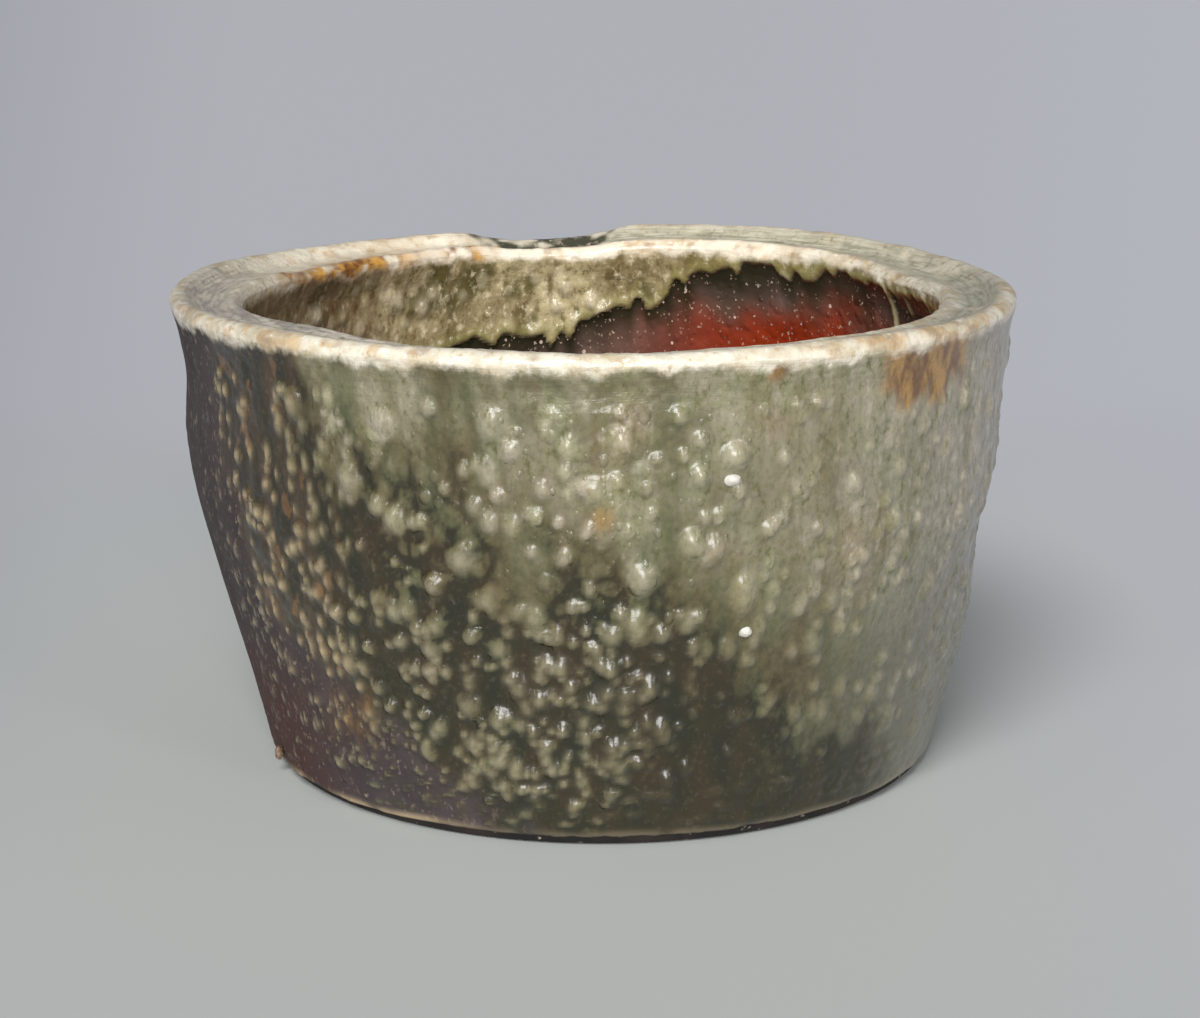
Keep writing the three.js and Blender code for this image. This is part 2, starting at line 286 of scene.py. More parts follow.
edge = (RIM_RADIUS - EDGE_ROUNDING, HEIGHT - EDGE_ROUNDING)
lip = (RIM_RADIUS - FLANGE + LIP_ROUNDING, CHANNEL_HEIGHT + LIP_RISE - LIP_ROUNDING)
channel = (edge[0] + lip[0]) / 2
lip_inside = lip[0] - LIP_ROUNDING
rim_line = even_steps(np.concatenate([
    pulled_curve((NECK, SEAT), (NECK, (SEAT + edge[1]) / 2), (RIM_RADIUS, edge[1])),
    arc(edge, EDGE_ROUNDING, 0, 90),
    pulled_curve((edge[0], HEIGHT), (edge[0] - EDGE_ROUNDING, HEIGHT),
                 (channel + EDGE_ROUNDING, CHANNEL_HEIGHT), (channel, CHANNEL_HEIGHT)),
    pulled_curve((channel, CHANNEL_HEIGHT), ((channel + lip[0]) / 2, CHANNEL_HEIGHT),
                 (lip[0], lip[1] + LIP_ROUNDING)),
    arc(lip, LIP_ROUNDING, 90, 180),
    pulled_curve((lip_inside, lip[1]), (lip_inside, (SEAT + lip[1]) / 2), (float(inside_radius(SEAT)), SEAT)),
]), RIM_STEP)

upper_heights = np.linspace(SEAT, FINE_DEPTH, 100)
lower_heights = np.linspace(FINE_DEPTH, SLAB_TOP + COVE, 60)
inner_foot = float(inside_radius(SLAB_TOP))
cove_line = pulled_curve((float(inside_radius(SLAB_TOP + COVE)), SLAB_TOP + COVE),
                         (inner_foot, SLAB_TOP + 0.2), (inner_foot - COVE, SLAB_TOP + 0.2))
lower_line = np.concatenate([np.stack([inside_radius(lower_heights), lower_heights], axis=1), cove_line])
inside_line = np.concatenate([
    even_steps(np.stack([inside_radius(upper_heights), upper_heights], axis=1), FINE_STEP),
    even_steps(lower_line, COARSE_STEP)[1:],
])

section = np.concatenate([outside_line, rim_line[1:], inside_line[1:]])
SEAT_OUTSIDE = len(outside_line) - 1
SEAT_INSIDE = SEAT_OUTSIDE + len(rim_line) - 1
# The turn under the lip is smoothed, so that its cove has no corner.
POINTS_ABOVE_SEAT = 11
POINTS_BELOW_SEAT = 16
SMOOTHING_PASSES = 90
cove = np.arange(SEAT_INSIDE - POINTS_ABOVE_SEAT, SEAT_INSIDE + POINTS_BELOW_SEAT)
for _ in range(SMOOTHING_PASSES):
    section[cove, 0] = (section[cove - 1, 0] + 2 * section[cove, 0] + section[cove + 1, 0]) / 4
section_gaps = np.hypot(*np.diff(section, axis=0).T)
ALONG = np.concatenate([[0], np.cumsum(section_gaps)])
slope = np.stack([np.gradient(section[:, axis], ALONG) for axis in (0, 1)], axis=1)
slope /= np.hypot(slope[:, 0], slope[:, 1])[:, None]
FACING = np.stack([slope[:, 1], -slope[:, 0]], axis=1)
print("section line", round(ALONG[-1], 1), "mm long,", len(section), "points")

# %% [markdown]
# Unrolled, the whole skin of the pot is a sheet: one way is the direction round the axis, the
# other is the distance along the section. Everything that the kiln did is worked out on this
# sheet once, as arrays, and each member later takes its own strip of it.

# %% The unrolled sheet
AROUND = 720
BETWEEN = 8
STEP_ANGLE = 360 / AROUND
direction = np.arange(AROUND)[:, None] * STEP_ANGLE
radius = np.repeat(section[None, :, 0], AROUND, axis=0)
height = np.repeat(section[None, :, 1], AROUND, axis=0)
along = np.repeat(ALONG[None, :], AROUND, axis=0)
turned = np.repeat(direction, len(section), axis=1)
is_outside = along <= ALONG[SEAT_OUTSIDE]
is_inside = along >= ALONG[SEAT_INSIDE]
print("sheet of", radius.size, "points")

# %% [markdown]
# Kiln surfaces are full of chance, so the patterns are drawn from seeded random numbers: the
# same bowl comes out each run. `blotch` gives smooth random values over the sheet, `hump` and
# `step_up` pick out zones by direction and height.

# %% Chance patterns
TABLE_ROWS = 128


def smooth(share):
    share = np.clip(share, 0.0, 1.0)
    return share * share * (3 - 2 * share)


def step_up(value, low, high):
    """From 0 at the low value to 1 at the high one."""
    return smooth((value - low) / (high - low))


def hump(angle, centre, spread, power=2):
    """1 in the centre's direction, fading over a spread in degrees. A high power flattens its top."""
    away = (angle - centre + 180) % 360 - 180
    return np.exp(-np.abs(away / spread) ** power)


def blotch(wide, tall, seed, lean=0.0):
    """Smooth chance values from 0 to 1 in cells of a width and a height in millimetres."""
    columns = max(3, round(2 * math.pi * SHOULDER / wide))
    table = np.random.default_rng(seed).random((columns, TABLE_ROWS))
    across = ((turned + lean * along) % 360) / 360 * columns
    up = along / tall
    column = np.floor(across).astype(int)
    row = np.floor(up).astype(int)
    over = smooth(across - column)
    above = smooth(up - row)
    next_column = (column + 1) % columns
    column = column % columns
    next_row = (row + 1) % TABLE_ROWS
    row = row % TABLE_ROWS
    low = table[column, row] * (1 - over) + table[next_column, row] * over
    high = table[column, next_row] * (1 - over) + table[next_column, next_row] * over
    return low * (1 - above) + high * above


def rough_blotch(wide, tall, seed, lean=0.0):
    """Two sizes of chance added up, for shapes with a ragged outline."""
    fine = blotch(wide * 0.43, tall * 0.47, seed + 500, lean)
    return 0.65 * blotch(wide, tall, seed, lean) + 0.35 * fine


# %% [markdown]
# The melted ash crowds into lumps with creases between them. `lump_cells` drops one chance
# centre into each cell of a grid, and measures how far each point is from the nearest centre
# and from the next one: where the two are equal, a crease runs.

# %% Crowded lumps
def lump_cells(wide, tall, seed, lean=0.0):
    """Domes that are 1 at chance centres, the creases between them, and a chance value each."""
    columns = round(2 * math.pi * SHOULDER / wide)
    centres = np.random.default_rng(seed).random((columns, TABLE_ROWS, 4))
    across = ((turned + lean * along) % 360) / 360 * columns
    up = along / tall
    column = np.floor(across).astype(int)
    row = np.floor(up).astype(int)
    nearest = np.full_like(radius, 9.0)
    following = np.full_like(radius, 9.0)
    value = np.zeros_like(radius)
    for aside in (-1, 0, 1):
        for above in (-1, 0, 1):
            centre = centres[(column + aside) % columns, (row + above) % TABLE_ROWS]
            far_across = column + aside + centre[..., 0] - across
            far_up = row + above + centre[..., 1] - up
            far = np.hypot(far_across, far_up) / (0.7 + 0.6 * centre[..., 2])
            value = np.where(far < nearest, centre[..., 3], value)
            following = np.minimum(following, np.maximum(nearest, far))
            nearest = np.minimum(nearest, far)
    return np.clip(1 - nearest ** 2, 0, 1), 1 - smooth((following - nearest) / 0.45), value


wide_dome, wide_crease, lump_tone = lump_cells(4.3, 5.6, 71, 0.12)
small_dome, small_crease, _ = lump_cells(2.3, 3.2, 72, 0.1)
print("mean dome", round(float(wide_dome.mean()), 2))

# %% [markdown]
# Ash that lands on the wall melts into beads. They are scattered by chance, family by family:
# hazy beads all round, crowds of clear ones low on the front and the back, drawn-out drops
# beside the scorched side, flat ones near the foot, chains on the right and small ones inside.

# %% Scattering the beads
chance = np.random.default_rng(11)
beads = []


def along_outside(place):
    return float(np.interp(place, outside_line[:, 1], ALONG[:SEAT_OUTSIDE + 1]))


def along_inside(place):
    heights_down = section[SEAT_INSIDE:, 1]
    return float(np.interp(-place, -heights_down, ALONG[SEAT_INSIDE:]))


def bead(way, place, size, rise, stretch=1.2, tone=None):
    beads.append((way, place, size, rise, stretch, chance.random() if tone is None else tone))


def scatter(count, ways, heights, sizes, rises, stretches, ask=None):
    """A count of beads between two directions and heights, each value drawn from its range."""
    for _ in range(count):
        way = chance.uniform(*ways)
        place = chance.uniform(*heights)
        size = sizes[0] + (sizes[1] - sizes[0]) * chance.random() ** 1.7
        rise = size * chance.uniform(*rises)
        stretch = chance.uniform(*stretches)
        if ask is None or chance.random() < ask(way, place):
            bead(way % 360, along_outside(place), size, rise, stretch)


def away_from_scorch(way, place):
    return 1 - 0.92 * float(hump(way, 197, 24, 4))


scatter(330, (0, 360), (10, 84), (1.3, 2.4), (0.5, 0.68), (1.0, 1.4), away_from_scorch)
scatter(430, (0, 360), (10, 84), (0.85, 1.3), (0.55, 0.75), (1.0, 1.4), away_from_scorch)
scatter(150, (231, 284), (10, 46), (1.0, 2.0), (0.6, 0.8), (0.95, 1.25))
scatter(85, (30, 90), (10, 46), (1.0, 2.0), (0.6, 0.8), (0.95, 1.25))
scatter(230, (203, 237), (12, 84), (0.65, 1.15), (0.45, 0.65), (1.5, 2.4))
scatter(130, (225, 330), (3.5, 11), (1.2, 2.2), (0.10, 0.24), (0.35, 0.6))
scatter(90, (0, 215), (3.5, 11), (1.2, 2.2), (0.10, 0.24), (0.35, 0.6))

for _ in range(46):
    way = chance.uniform(284, 400)
    place = chance.uniform(28, 78)
    for _ in range(chance.integers(3, 7)):
        bead(way % 360, along_outside(place), chance.uniform(0.7, 1.3), chance.uniform(0.4, 0.65), 1.5)
        way -= chance.uniform(0.3, 1.4)
        place -= chance.uniform(2.0, 3.6)

for _ in range(260):
    place = chance.uniform(45, 79)
    size = chance.uniform(0.9, 2.2)
    bead(chance.uniform(0, 360), along_inside(place), size, size * chance.uniform(0.2, 0.4), 1.2)

# A last crowd lies over the others, low in the middle of the front.
scatter(55, (252, 279), (8, 25), (1.0, 2.0), (0.6, 0.8), (0.95, 1.25))

# %% [markdown]
# The largest beads are listed one by one, by direction, height, size and rise.

# %% Large beads
LARGE_BEADS = [
    (276, 51, 2.5, 1.6), (284, 55, 1.7, 1.0), (292, 59, 1.4, 1.0), (299, 58, 1.2, 0.9), (310, 61, 1.2, 0.9),
    (249, 49, 1.8, 1.6), (262, 29, 2.1, 1.3), (272, 41, 2.1, 1.3), (277, 31, 2.1, 1.4), (283, 69, 1.5, 1.3),
    (252, 27, 2.2, 1.3), (259, 24, 1.9, 1.0), (268, 25, 1.7, 0.9), (265, 35, 2.0, 1.1), (257, 38, 2.1, 1.1),
    (253, 54, 2.6, 1.1), (247, 22, 1.8, 1.0), (252, 20, 1.7, 0.9), (262, 19, 1.6, 0.9), (272, 19, 1.5, 0.9),
    (242, 62, 2.0, 1.0), (257, 61, 1.8, 0.9), (270, 67, 1.8, 0.9), (257, 70, 1.6, 0.9), (306, 48, 1.1, 0.8),
    (256, 47, 2.2, 1.1), (262, 44, 1.8, 1.0), (243, 31, 1.5, 0.9), (240, 45, 1.4, 0.9), (247, 60, 1.5, 0.8),
]
for way, place, size, rise in LARGE_BEADS:
    bead(way, along_outside(place), size, rise, 1.15)
bead(90.7, along_inside(75), 1.9, 1.0, 1.1, 0.9)
bead(97.0, along_inside(74), 1.7, 0.8, 1.1, 0.8)
print(len(beads), "beads")

# %% [markdown]
# Each bead is stamped on the part of the sheet around it: a dome in the relief, a soft mask
# for its milky glass and painted sheen, and a ring where the dark glass pools.

# %% Stamping the beads
relief = np.zeros_like(radius)
bead_mask = np.zeros_like(radius)
pool_ring = np.zeros_like(radius)
bead_tone = lump_tone.copy()
STAMP_REACH = 2.3
for way, place, size, rise, stretch, tone in beads:
    reach = STAMP_REACH * size * stretch
    first, last = np.searchsorted(ALONG, (place - reach, place + reach))
    if last == first:
        continue
    per_degree = math.radians(section[min(first, len(section) - 1), 0])
    half = math.ceil(STAMP_REACH * size / per_degree / STEP_ANGLE)
    columns = np.arange(-half, half + 1) + round(way / STEP_ANGLE)
    across = (columns * STEP_ANGLE - way) * per_degree
    up = (ALONG[first:last] - place) / stretch
    far = np.hypot(across[:, None], up[None, :]) / size
    area = np.ix_(columns % AROUND, np.arange(first, last))
    dome = rise * (0.5 * np.clip(1 - (far / 1.2) ** 2, 0, 1) + 0.5 * np.exp(-1.1 * far ** 2.3))
    bead_tone[area] = np.where(dome > relief[area], tone, bead_tone[area])
    relief[area] = np.maximum(relief[area], dome)
    bead_mask[area] = np.maximum(bead_mask[area], np.exp(-2.3 * far ** 2))
    pool_ring[area] = np.maximum(pool_ring[area], np.exp(-((far - 1.5) / 0.5) ** 2))
pool_ring = pool_ring * (1 - bead_mask)
print("highest bead", round(float(relief.max()), 2), "mm")

# %% [markdown]
# Zones say how strong each effect is. The front's lower half is dark between clear beads, its
# upper half is hazy, a dark run hangs right of the middle, and the left side is scorched.

# %% Zones of the outside
ragged_way = turned + 16 * (rough_blotch(9, 14, 51) - 0.5)
ragged_height = height + 16 * (rough_blotch(12, 11, 52) - 0.5)
low_front = hump(ragged_way, 257, 30, 3) * (1 - step_up(ragged_height, 30, 49))
low_back = 0.8 * hump(ragged_way, 60, 34, 3) * (1 - step_up(ragged_height, 30, 52))
clear_zone = np.maximum(low_front, low_back)
scorch_edge = 214 + 42 * (1 - step_up(height, 2, 44))
scorch_field = step_up(scorch_edge - turned + 12 * (rough_blotch(9, 14, 5) - 0.5), -5, 5)
scorch_field = scorch_field * step_up(turned + 16 * (rough_blotch(12, 20, 6) - 0.5), 158, 176)
scorch = scorch_field * (1 - 0.9 * bead_mask * step_up(turned, 201, 213))
drops = hump(ragged_way, 219, 15, 4) * step_up(ragged_height, 6, 20)
grey_side = hump(turned, 0, 54, 6)
dark_run = 0.5 * hump(turned + 2.5 * (blotch(6, 18, 14) - 0.5), 284, 6.5, 3) * (1 - step_up(height, 26, 48))
dark_run = np.maximum(dark_run, hump(ragged_way, 284, 9, 4) * (1 - step_up(ragged_height, 14, 32)))
foot_dark = hump(turned, 303, 24, 4) * (1 - step_up(ragged_height, 9, 21))
calm = hump(turned, 330, 46, 6)
contrast = (0.5 + 0.2 * clear_zone + 0.35 * drops) * (1 - 0.4 * calm)
contrast = contrast * (1 - 0.75 * np.maximum(dark_run, foot_dark)) * (0.35 + 0.65 * step_up(height, 5, 13))
creases = np.maximum(wide_crease, 0.6 * small_crease) * step_up(rough_blotch(12, 16, 61), 0.3, 0.6)
creases = creases * (1 - 0.8 * calm) * (1 - bead_mask)
lumps = 0.34 * (wide_dome - 0.6) + 0.2 * (small_dome - 0.6) * (1 - bead_mask) - 0.16 * creases
lumps = (lumps + 0.2 * (blotch(9, 12, 15) - 0.5)) * (1 - 0.65 * calm)
streak = rough_blotch(4.5, 42, 3, 0.1)
print("scorched share of the outside", round(float(scorch[is_outside].mean()), 2))

# %% [markdown]
# The glass is thin and pale on high spots, and it pools dark in the hollows between them. Its
# darkness is a sum: one share for each cause. One share darkens the wall towards the bottom,
# partly as painted shade, and last comes a thin painted shadow under the rim.

# %% Darkness of the glass
right_side = hump(turned, 348, 40, 4)
left_side = hump(ragged_way, 222, 26)
right_middle = hump(turned, 297, 17)
# The wall is darker towards the bottom, partly as painted shade.
shade_low = 28 + 32 * left_side - 6 * right_middle - 12 * right_side
shade_high = 75 + 22 * left_side - 16 * right_middle - 10 * right_side
shade = 1 - step_up(height, shade_low, shade_high)
shade = shade * (1 - 0.4 * right_side)
hollow_share = step_up(0.3 - relief * (1 - scorch) - 1.2 * lumps, -0.3, 0.5)
dark = 0.14 + sum([
    0.6 * shade,
    0.18 * clear_zone,
    0.7 * dark_run,
    0.6 * foot_dark,
    0.5 * drops,
    (0.15 + 0.25 * shade) * creases,
    (0.18 + 0.14 * left_side) * (step_up(streak, 0.4, 0.8) - 0.25) * (1 - 0.6 * grey_side),
    0.26 * hump(turned, 226, 12) * step_up(height, 62, 74),
    0.2 * hump(turned, 253.5, 4.5, 3) * step_up(height, 40, 54),
    0.13 * hump(turned, 300, 24, 4) * hump(ragged_height, 69, 9, 3),
    (0.14 + 0.1 * shade) * (rough_blotch(10, 15, 53) - 0.5) * (1 - 0.5 * calm),
    (0.26 + 0.34 * shade + 0.2 * left_side) * (1 - 0.5 * calm) * (hollow_share - 0.5),
    0.2 * (clear_zone + left_side) * pool_ring,
    # A thin painted shadow under the rim.
    0.1 * hump(turned, 268, 9, 4) * np.exp(-((height - 84.4) / 1.3) ** 2),
])
dark = np.clip(dark * (1 - 0.2 * grey_side), 0, 1.15)
cool = grey_side * (1 - step_up(height, 30, 72))
print("mean darkness of the outside", round(float(dark[is_outside].mean()), 2))

# %% Stains and foot line
foot_height = height - FOOT_LIP
foot_wave = foot_height - 0.5 - 0.7 * blotch(9, 400, 10)
foot_line = np.exp(-(foot_wave / 0.75) ** 2) * is_outside * (0.25 + 0.75 * hump(turned, 224, 22, 4))
foot_line = foot_line * step_up(blotch(6, 400, 12), 0.0, 0.4)
rust = hump(turned, 317, 9, 4) * step_up(height + 13 * (rough_blotch(2.6, 20, 9) - 0.5), 73, 81)
rust = np.maximum(rust, 0.65 * hump(turned, 292.5, 1.7) * step_up(height, 82, 86))
rust = np.maximum(rust, 0.5 * hump(turned, 271, 2.2) * np.exp(-((height - 62) / 3.5) ** 2))
rust = np.maximum(rust, 0.3 * hump(ragged_way, 229, 8) * np.exp(-((height - 21) / 9) ** 2))
rust = rust * (along < ALONG[SEAT_INSIDE] - 12)
red_foot = hump(turned, 203, 20, 4) * (1 - step_up(height, 14, 34)) * is_outside
print("stains on", int((rust > 0.3).sum()), "points")

# %% [markdown]
# The ash crust caps the rim. Its lower edge is ragged, the channel between the rim's edge and
# its lip holds grey-green glass, and orange flashes show where iron came through.

# %% Zones of the rim
EDGE_INSIDE = edge[0] - EDGE_ROUNDING
from_edge = along - float(np.interp(edge[1], rim_line[:40, 1], ALONG[SEAT_OUTSIDE:SEAT_OUTSIDE + 40]))
lip_start = float(ALONG[SEAT_OUTSIDE + int(np.argmin(rim_line[:, 0] - 0.5 * rim_line[:, 1]))])
crust_low = from_edge + 2.4 * (rough_blotch(3.2, 900, 24) - 0.5)
crust = step_up(crust_low, -3.2, 0.9)
inner_ragged = along - lip_start + 2.2 * (rough_blotch(4, 900, 25) - 0.5)
inner_end = 2.2 + 2.5 * hump(turned, 150, 40, 4) + 1.3 * hump(turned, 72, 40, 4)
crust = crust * (1 - step_up(inner_ragged, 0.3, inner_end))
on_top = step_up(height, 84.5, 87.0)
channel_mask = np.exp(-np.abs((radius - channel - 0.2) / 4.3) ** 4) * on_top
channel_mask = channel_mask * step_up(rough_blotch(7, 5, 26), 0.05, 0.35)
channel_mask = channel_mask * (1 - 0.8 * hump(turned, 130, 34, 4))
front_left = hump(turned, 218, 36, 4) * step_up(EDGE_INSIDE - radius + 2 * (blotch(4, 3, 29) - 0.5), 0, 1.5)
channel_mask = np.maximum(channel_mask, front_left * on_top)
lip_orange = np.maximum(hump(turned, 142, 18, 4), hump(turned, 114, 5, 4))
lip_orange = lip_orange * np.exp(-((along - lip_start) / 4.4) ** 2)
lip_orange = lip_orange * step_up(rough_blotch(4.5, 4, 62), 0.3, 0.52)
flash = rough_blotch(2.6, 1.8, 27) + 0.09 * hump(turned, 215, 26, 4) + 0.15 * hump(turned, 324, 24, 4)
flash = flash - 0.2 * hump(turned, 272, 22, 4)
edge_orange = 0.4 * step_up(flash, 0.6, 0.74)
ochre = np.clip(lip_orange + edge_orange * crust * (1 - channel_mask), 0, 1)
glass_dip = step_up(hump(turned, 98, 12, 4) + 1.5 * (rough_blotch(4, 2.5, 28) - 0.5), 0.45, 0.95)
glass_dip = glass_dip * step_up(along, ALONG[SEAT_OUTSIDE] + 9, ALONG[SEAT_OUTSIDE] + 12)
glass_dip = glass_dip * (1 - step_up(along, lip_start - 6, lip_start - 2.5))
print("crust covers", round(float(crust.sum() / crust.size), 2), "of the sheet")

# %% [markdown]
# Inside, a band of ash glass hangs under the lip. It is deep on the left and thin on the right,
# where the clay below it blushed black, purple and red. Dark streaks hang from the lip on the
# left, and the glass at the left end is darkened as painted shade.

# %% Zones of the inside
BAND_EDGE = [(0, 81), (20, 84), (62, 83.8), (71, 80.5), (82, 76), (91, 71.6), (97, 69), (106, 67.6),
             (117, 66.5), (128, 63), (150, 57), (180, 54), (230, 58), (280, 66), (330, 76), (360, 81)]
edge_height = np.interp(turned, *zip(*BAND_EDGE))
edge_height = edge_height - 3.4 * (blotch(2.4, 900, 31) ** 2 - 0.3) - 3.0 * (blotch(9, 900, 32) - 0.5)
past_lip = step_up(along, lip_start, lip_start + 2)
band = step_up(height, edge_height - 0.35, edge_height + 0.35)
long_drip = np.maximum(hump(turned, 25.5, 0.8, 4) * step_up(height, 74, 75),
                       0.8 * hump(turned, 19.5, 0.6, 4) * step_up(height, 79, 80))
band = np.maximum(band, long_drip)
band_lip = np.exp(-((height - edge_height - 0.9) / 1.1) ** 2) * past_lip
fringe = np.exp(-(np.clip(height - edge_height, 0, 100) / 2.6) ** 2) * band
below = np.clip(edge_height - height, 0, 100)
black_glass = np.exp(-(below / (4.5 + 6.0 * blotch(3.5, 900, 34))) ** 2) * (1 - band) * past_lip
blush = hump(turned, 48, 32, 4) * (1 - step_up(ragged_height, 70, 83)) * step_up(height, 20, 45)
# The left end of the inside is darkened as painted shade, and joins the dark hanging streaks.
left_end_shade = step_up(turned, 112, 158) * (1 - step_up(turned, 240, 270))
hanging = hump(turned, 142, 24, 4) * step_up(blotch(3.5, 900, 63), 0.5, 0.8) * step_up(height, 66, 82)
hanging = np.maximum(0.85 * hanging, 0.75 * left_end_shade) * past_lip
print("band covers", round(float(band[is_inside].mean()), 2), "of the inside")

# %% [markdown]
# The relief adds up slow waves from the hands, vertical runs, beads and the crust's lumps. It
# moves each point along the direction that its face looks to.

# %% Relief of the whole sheet
hands = 0.55 * (blotch(38, 30, 1) - 0.5) + 0.3 * (blotch(14, 17, 2) - 0.5)
run_lumps = 0.35 * (streak - 0.5)
near_rim = step_up(along, ALONG[SEAT_OUTSIDE], ALONG[SEAT_OUTSIDE] + 6)
past_rim = step_up(along, ALONG[SEAT_INSIDE] - 6, ALONG[SEAT_INSIDE])
top_share = near_rim * (1 - past_rim)
crust_lumps = crust ** 2 * (0.4 * rough_blotch(6.5, 3.6, 21) + 0.16 * blotch(2.4, 1.6, 22) - 0.3)
crust_lumps = crust_lumps * (1 - 0.5 * channel_mask)
bead_share = (1 - 0.75 * scorch) * (1 - top_share) * np.where(is_inside, band, 1.0)
bead_share = bead_share * np.where(is_outside, step_up(foot_height, 0, 2.0), 1.0) * (1 - 0.4 * grey_side)
coat = np.where(past_lip > 0, 0.5 * band + 0.45 * band_lip, 0.0)
calmed_lumps = lumps * (1 - np.maximum(0.6 * top_share, 0.85 * scorch))
moved = hands + calmed_lumps + run_lumps * (1 - top_share) + crust_lumps + coat
moved = moved + relief * bead_share - 0.14 * pool_ring * bead_share + 0.4 * foot_line - 0.2
foot_round = np.where(is_outside, 1.1 * (1 - step_up(foot_height, 0, 1.8)) ** 2, 0.0)
moved = moved - foot_round
floor_end = step_up(ALONG[-1] - along, 0.0, 6.0)
moved = moved * np.where(is_inside, floor_end, 1.0)
print("relief from", round(float(moved.min()), 2), "to", round(float(moved.max()), 2), "mm")

# %% [markdown]
# The rim swells at the back right and dips beside it. Fingers pressed its lip at three places
# and the wall at two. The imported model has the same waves, so both shapes lie on each other.

# %% Rim waves and lean
SWELL_HEIGHT = 1.7
DIP_DEPTH = 2.4
DIP_LIP_SHARE = 0.6
LIP_FOLDS = [(222, 14, 2.0, -0.5), (148, 18, 2.0, 0.7), (20, 12, 1.5, 1.1)]
HAND_WAVE = 0.5
PRESSED_PLACES = [(185, 75, 30, 7, 1.1), (352, 45, 20, 9, 1.7)]
BOX_MARGIN = 0.08


def shape_rim(angle, far, up):
    """Moves points by the rim's waves and by the fingers that pressed the lip."""
    share = step_up(up, SEAT, HEIGHT)
    to_lip = step_up(RIM_RADIUS - far, 0, FLANGE)
    inward = sum(move * hump(angle, centre, spread) for centre, spread, move, _ in LIP_FOLDS)
    down = sum(drop * hump(angle, centre, spread) for centre, spread, _, drop in LIP_FOLDS)
    swell = SWELL_HEIGHT * hump(angle, 58, 30)
    dip = DIP_DEPTH * hump(angle, 98, 11, 4) * (1 - (1 - DIP_LIP_SHARE) * to_lip)
    return far - inward * to_lip * share, up + (swell - dip - down * to_lip) * share


def to_metres(angle, far, up):
    """Adds the hands' slow wave and pressed places and the axis' lean, and turns to metres."""
    way = np.radians(angle)
    climb = np.pi * up / HEIGHT
    waved = far + HAND_WAVE * np.sin(climb) * np.sin(3 * way + 2 * climb)
    for centre, middle, spread, reach, depth in PRESSED_PLACES:
        waved = waved - depth * hump(angle, centre, spread) * np.exp(-((up - middle) / reach) ** 2)
    return np.stack([waved * np.cos(way) + LEAN * up / HEIGHT, waved * np.sin(way), up], axis=-1) * MM


face_radius, face_height = shape_rim(turned, radius, height)
face_radius = np.minimum(face_radius + FACING[None, :, 0] * moved, RIM_RADIUS - BOX_MARGIN)
face_height = face_height + FACING[None, :, 1] * moved
surface = to_metres(turned, face_radius, face_height)
print("top of the rim", round(float(surface[..., 2].max()) / MM, 2), "mm")

# %% [markdown]
# A member is a strip of the section, closed by a hidden line inside the clay, and spun round
# the axis. Each point remembers its place in the line, so that after the spin and a cut of
# each face into eight it can be moved to its place on the sheet.

# %% Spinning a member
def spin_line(line, is_closed):
    shape = bmesh.new()
    place = shape.verts.layers.float.new("place")
    points = []
    for index, (far, up) in enumerate(line):
        point = shape.verts.new((far, 0, up))
        point[place] = index
        points.append(point)
    pairs = list(zip(points, points[1:])) + ([(points[-1], points[0])] if is_closed else [])
    edges = [shape.edges.new(pair) for pair in pairs]
    bmesh.ops.spin(shape, geom=points + edges, cent=(0, 0, 0), axis=(0, 0, 1), dvec=(0, 0, 0),
                   angle=2 * math.pi, steps=AROUND // BETWEEN, use_merge=True, use_duplicate=False)
    bmesh.ops.remove_doubles(shape, verts=[v for v in shape.verts if v.co.xy.length < MM], dist=MM)
    rings = [e for e in shape.edges if abs(e.verts[0][place] - e.verts[1][place]) < 0.5]
    bmesh.ops.subdivide_edges(shape, edges=rings, cuts=BETWEEN - 1, use_grid_fill=True)
    bmesh.ops.recalc_face_normals(shape, faces=shape.faces)
    return shape


def add_object(name, shape):
    mesh = bpy.data.meshes.new(name)
    shape.to_mesh(mesh)
    shape.free()
    mesh.polygons.foreach_set("use_smooth", [True] * len(mesh.polygons))
    piece = bpy.data.objects.new(name, mesh)
    bpy.context.scene.collection.objects.link(piece)
    return piece


def read_cells(mesh):
    """The step round the axis and the place in the line of every vertex."""
    flat = np.empty(len(mesh.vertices) * 3)
    mesh.vertices.foreach_get("co", flat)
    x, y, _ = flat.reshape(-1, 3).T
    places = np.empty(len(mesh.vertices), dtype=np.float32)
    mesh.attributes["place"].data.foreach_get("value", places)
    step = np.round(np.degrees(np.arctan2(y, x)) / STEP_ANGLE).astype(int) % AROUND
    return step, np.round(places).astype(int)


def keep_border_crisp(mesh, places, borders):
    """Marks the edges where a member meets its neighbour, so that shading stops there."""
    ends = np.empty(len(mesh.edges) * 2, dtype=np.int32)
    mesh.edges.foreach_get("vertices", ends)
    first, second = places[ends.reshape(-1, 2)].T
    crisp = (first == second) & np.isin(first, borders)
    mesh.attributes.new("sharp_edge", "BOOLEAN", "EDGE").data.foreach_set("value", crisp)


MASKS = {}


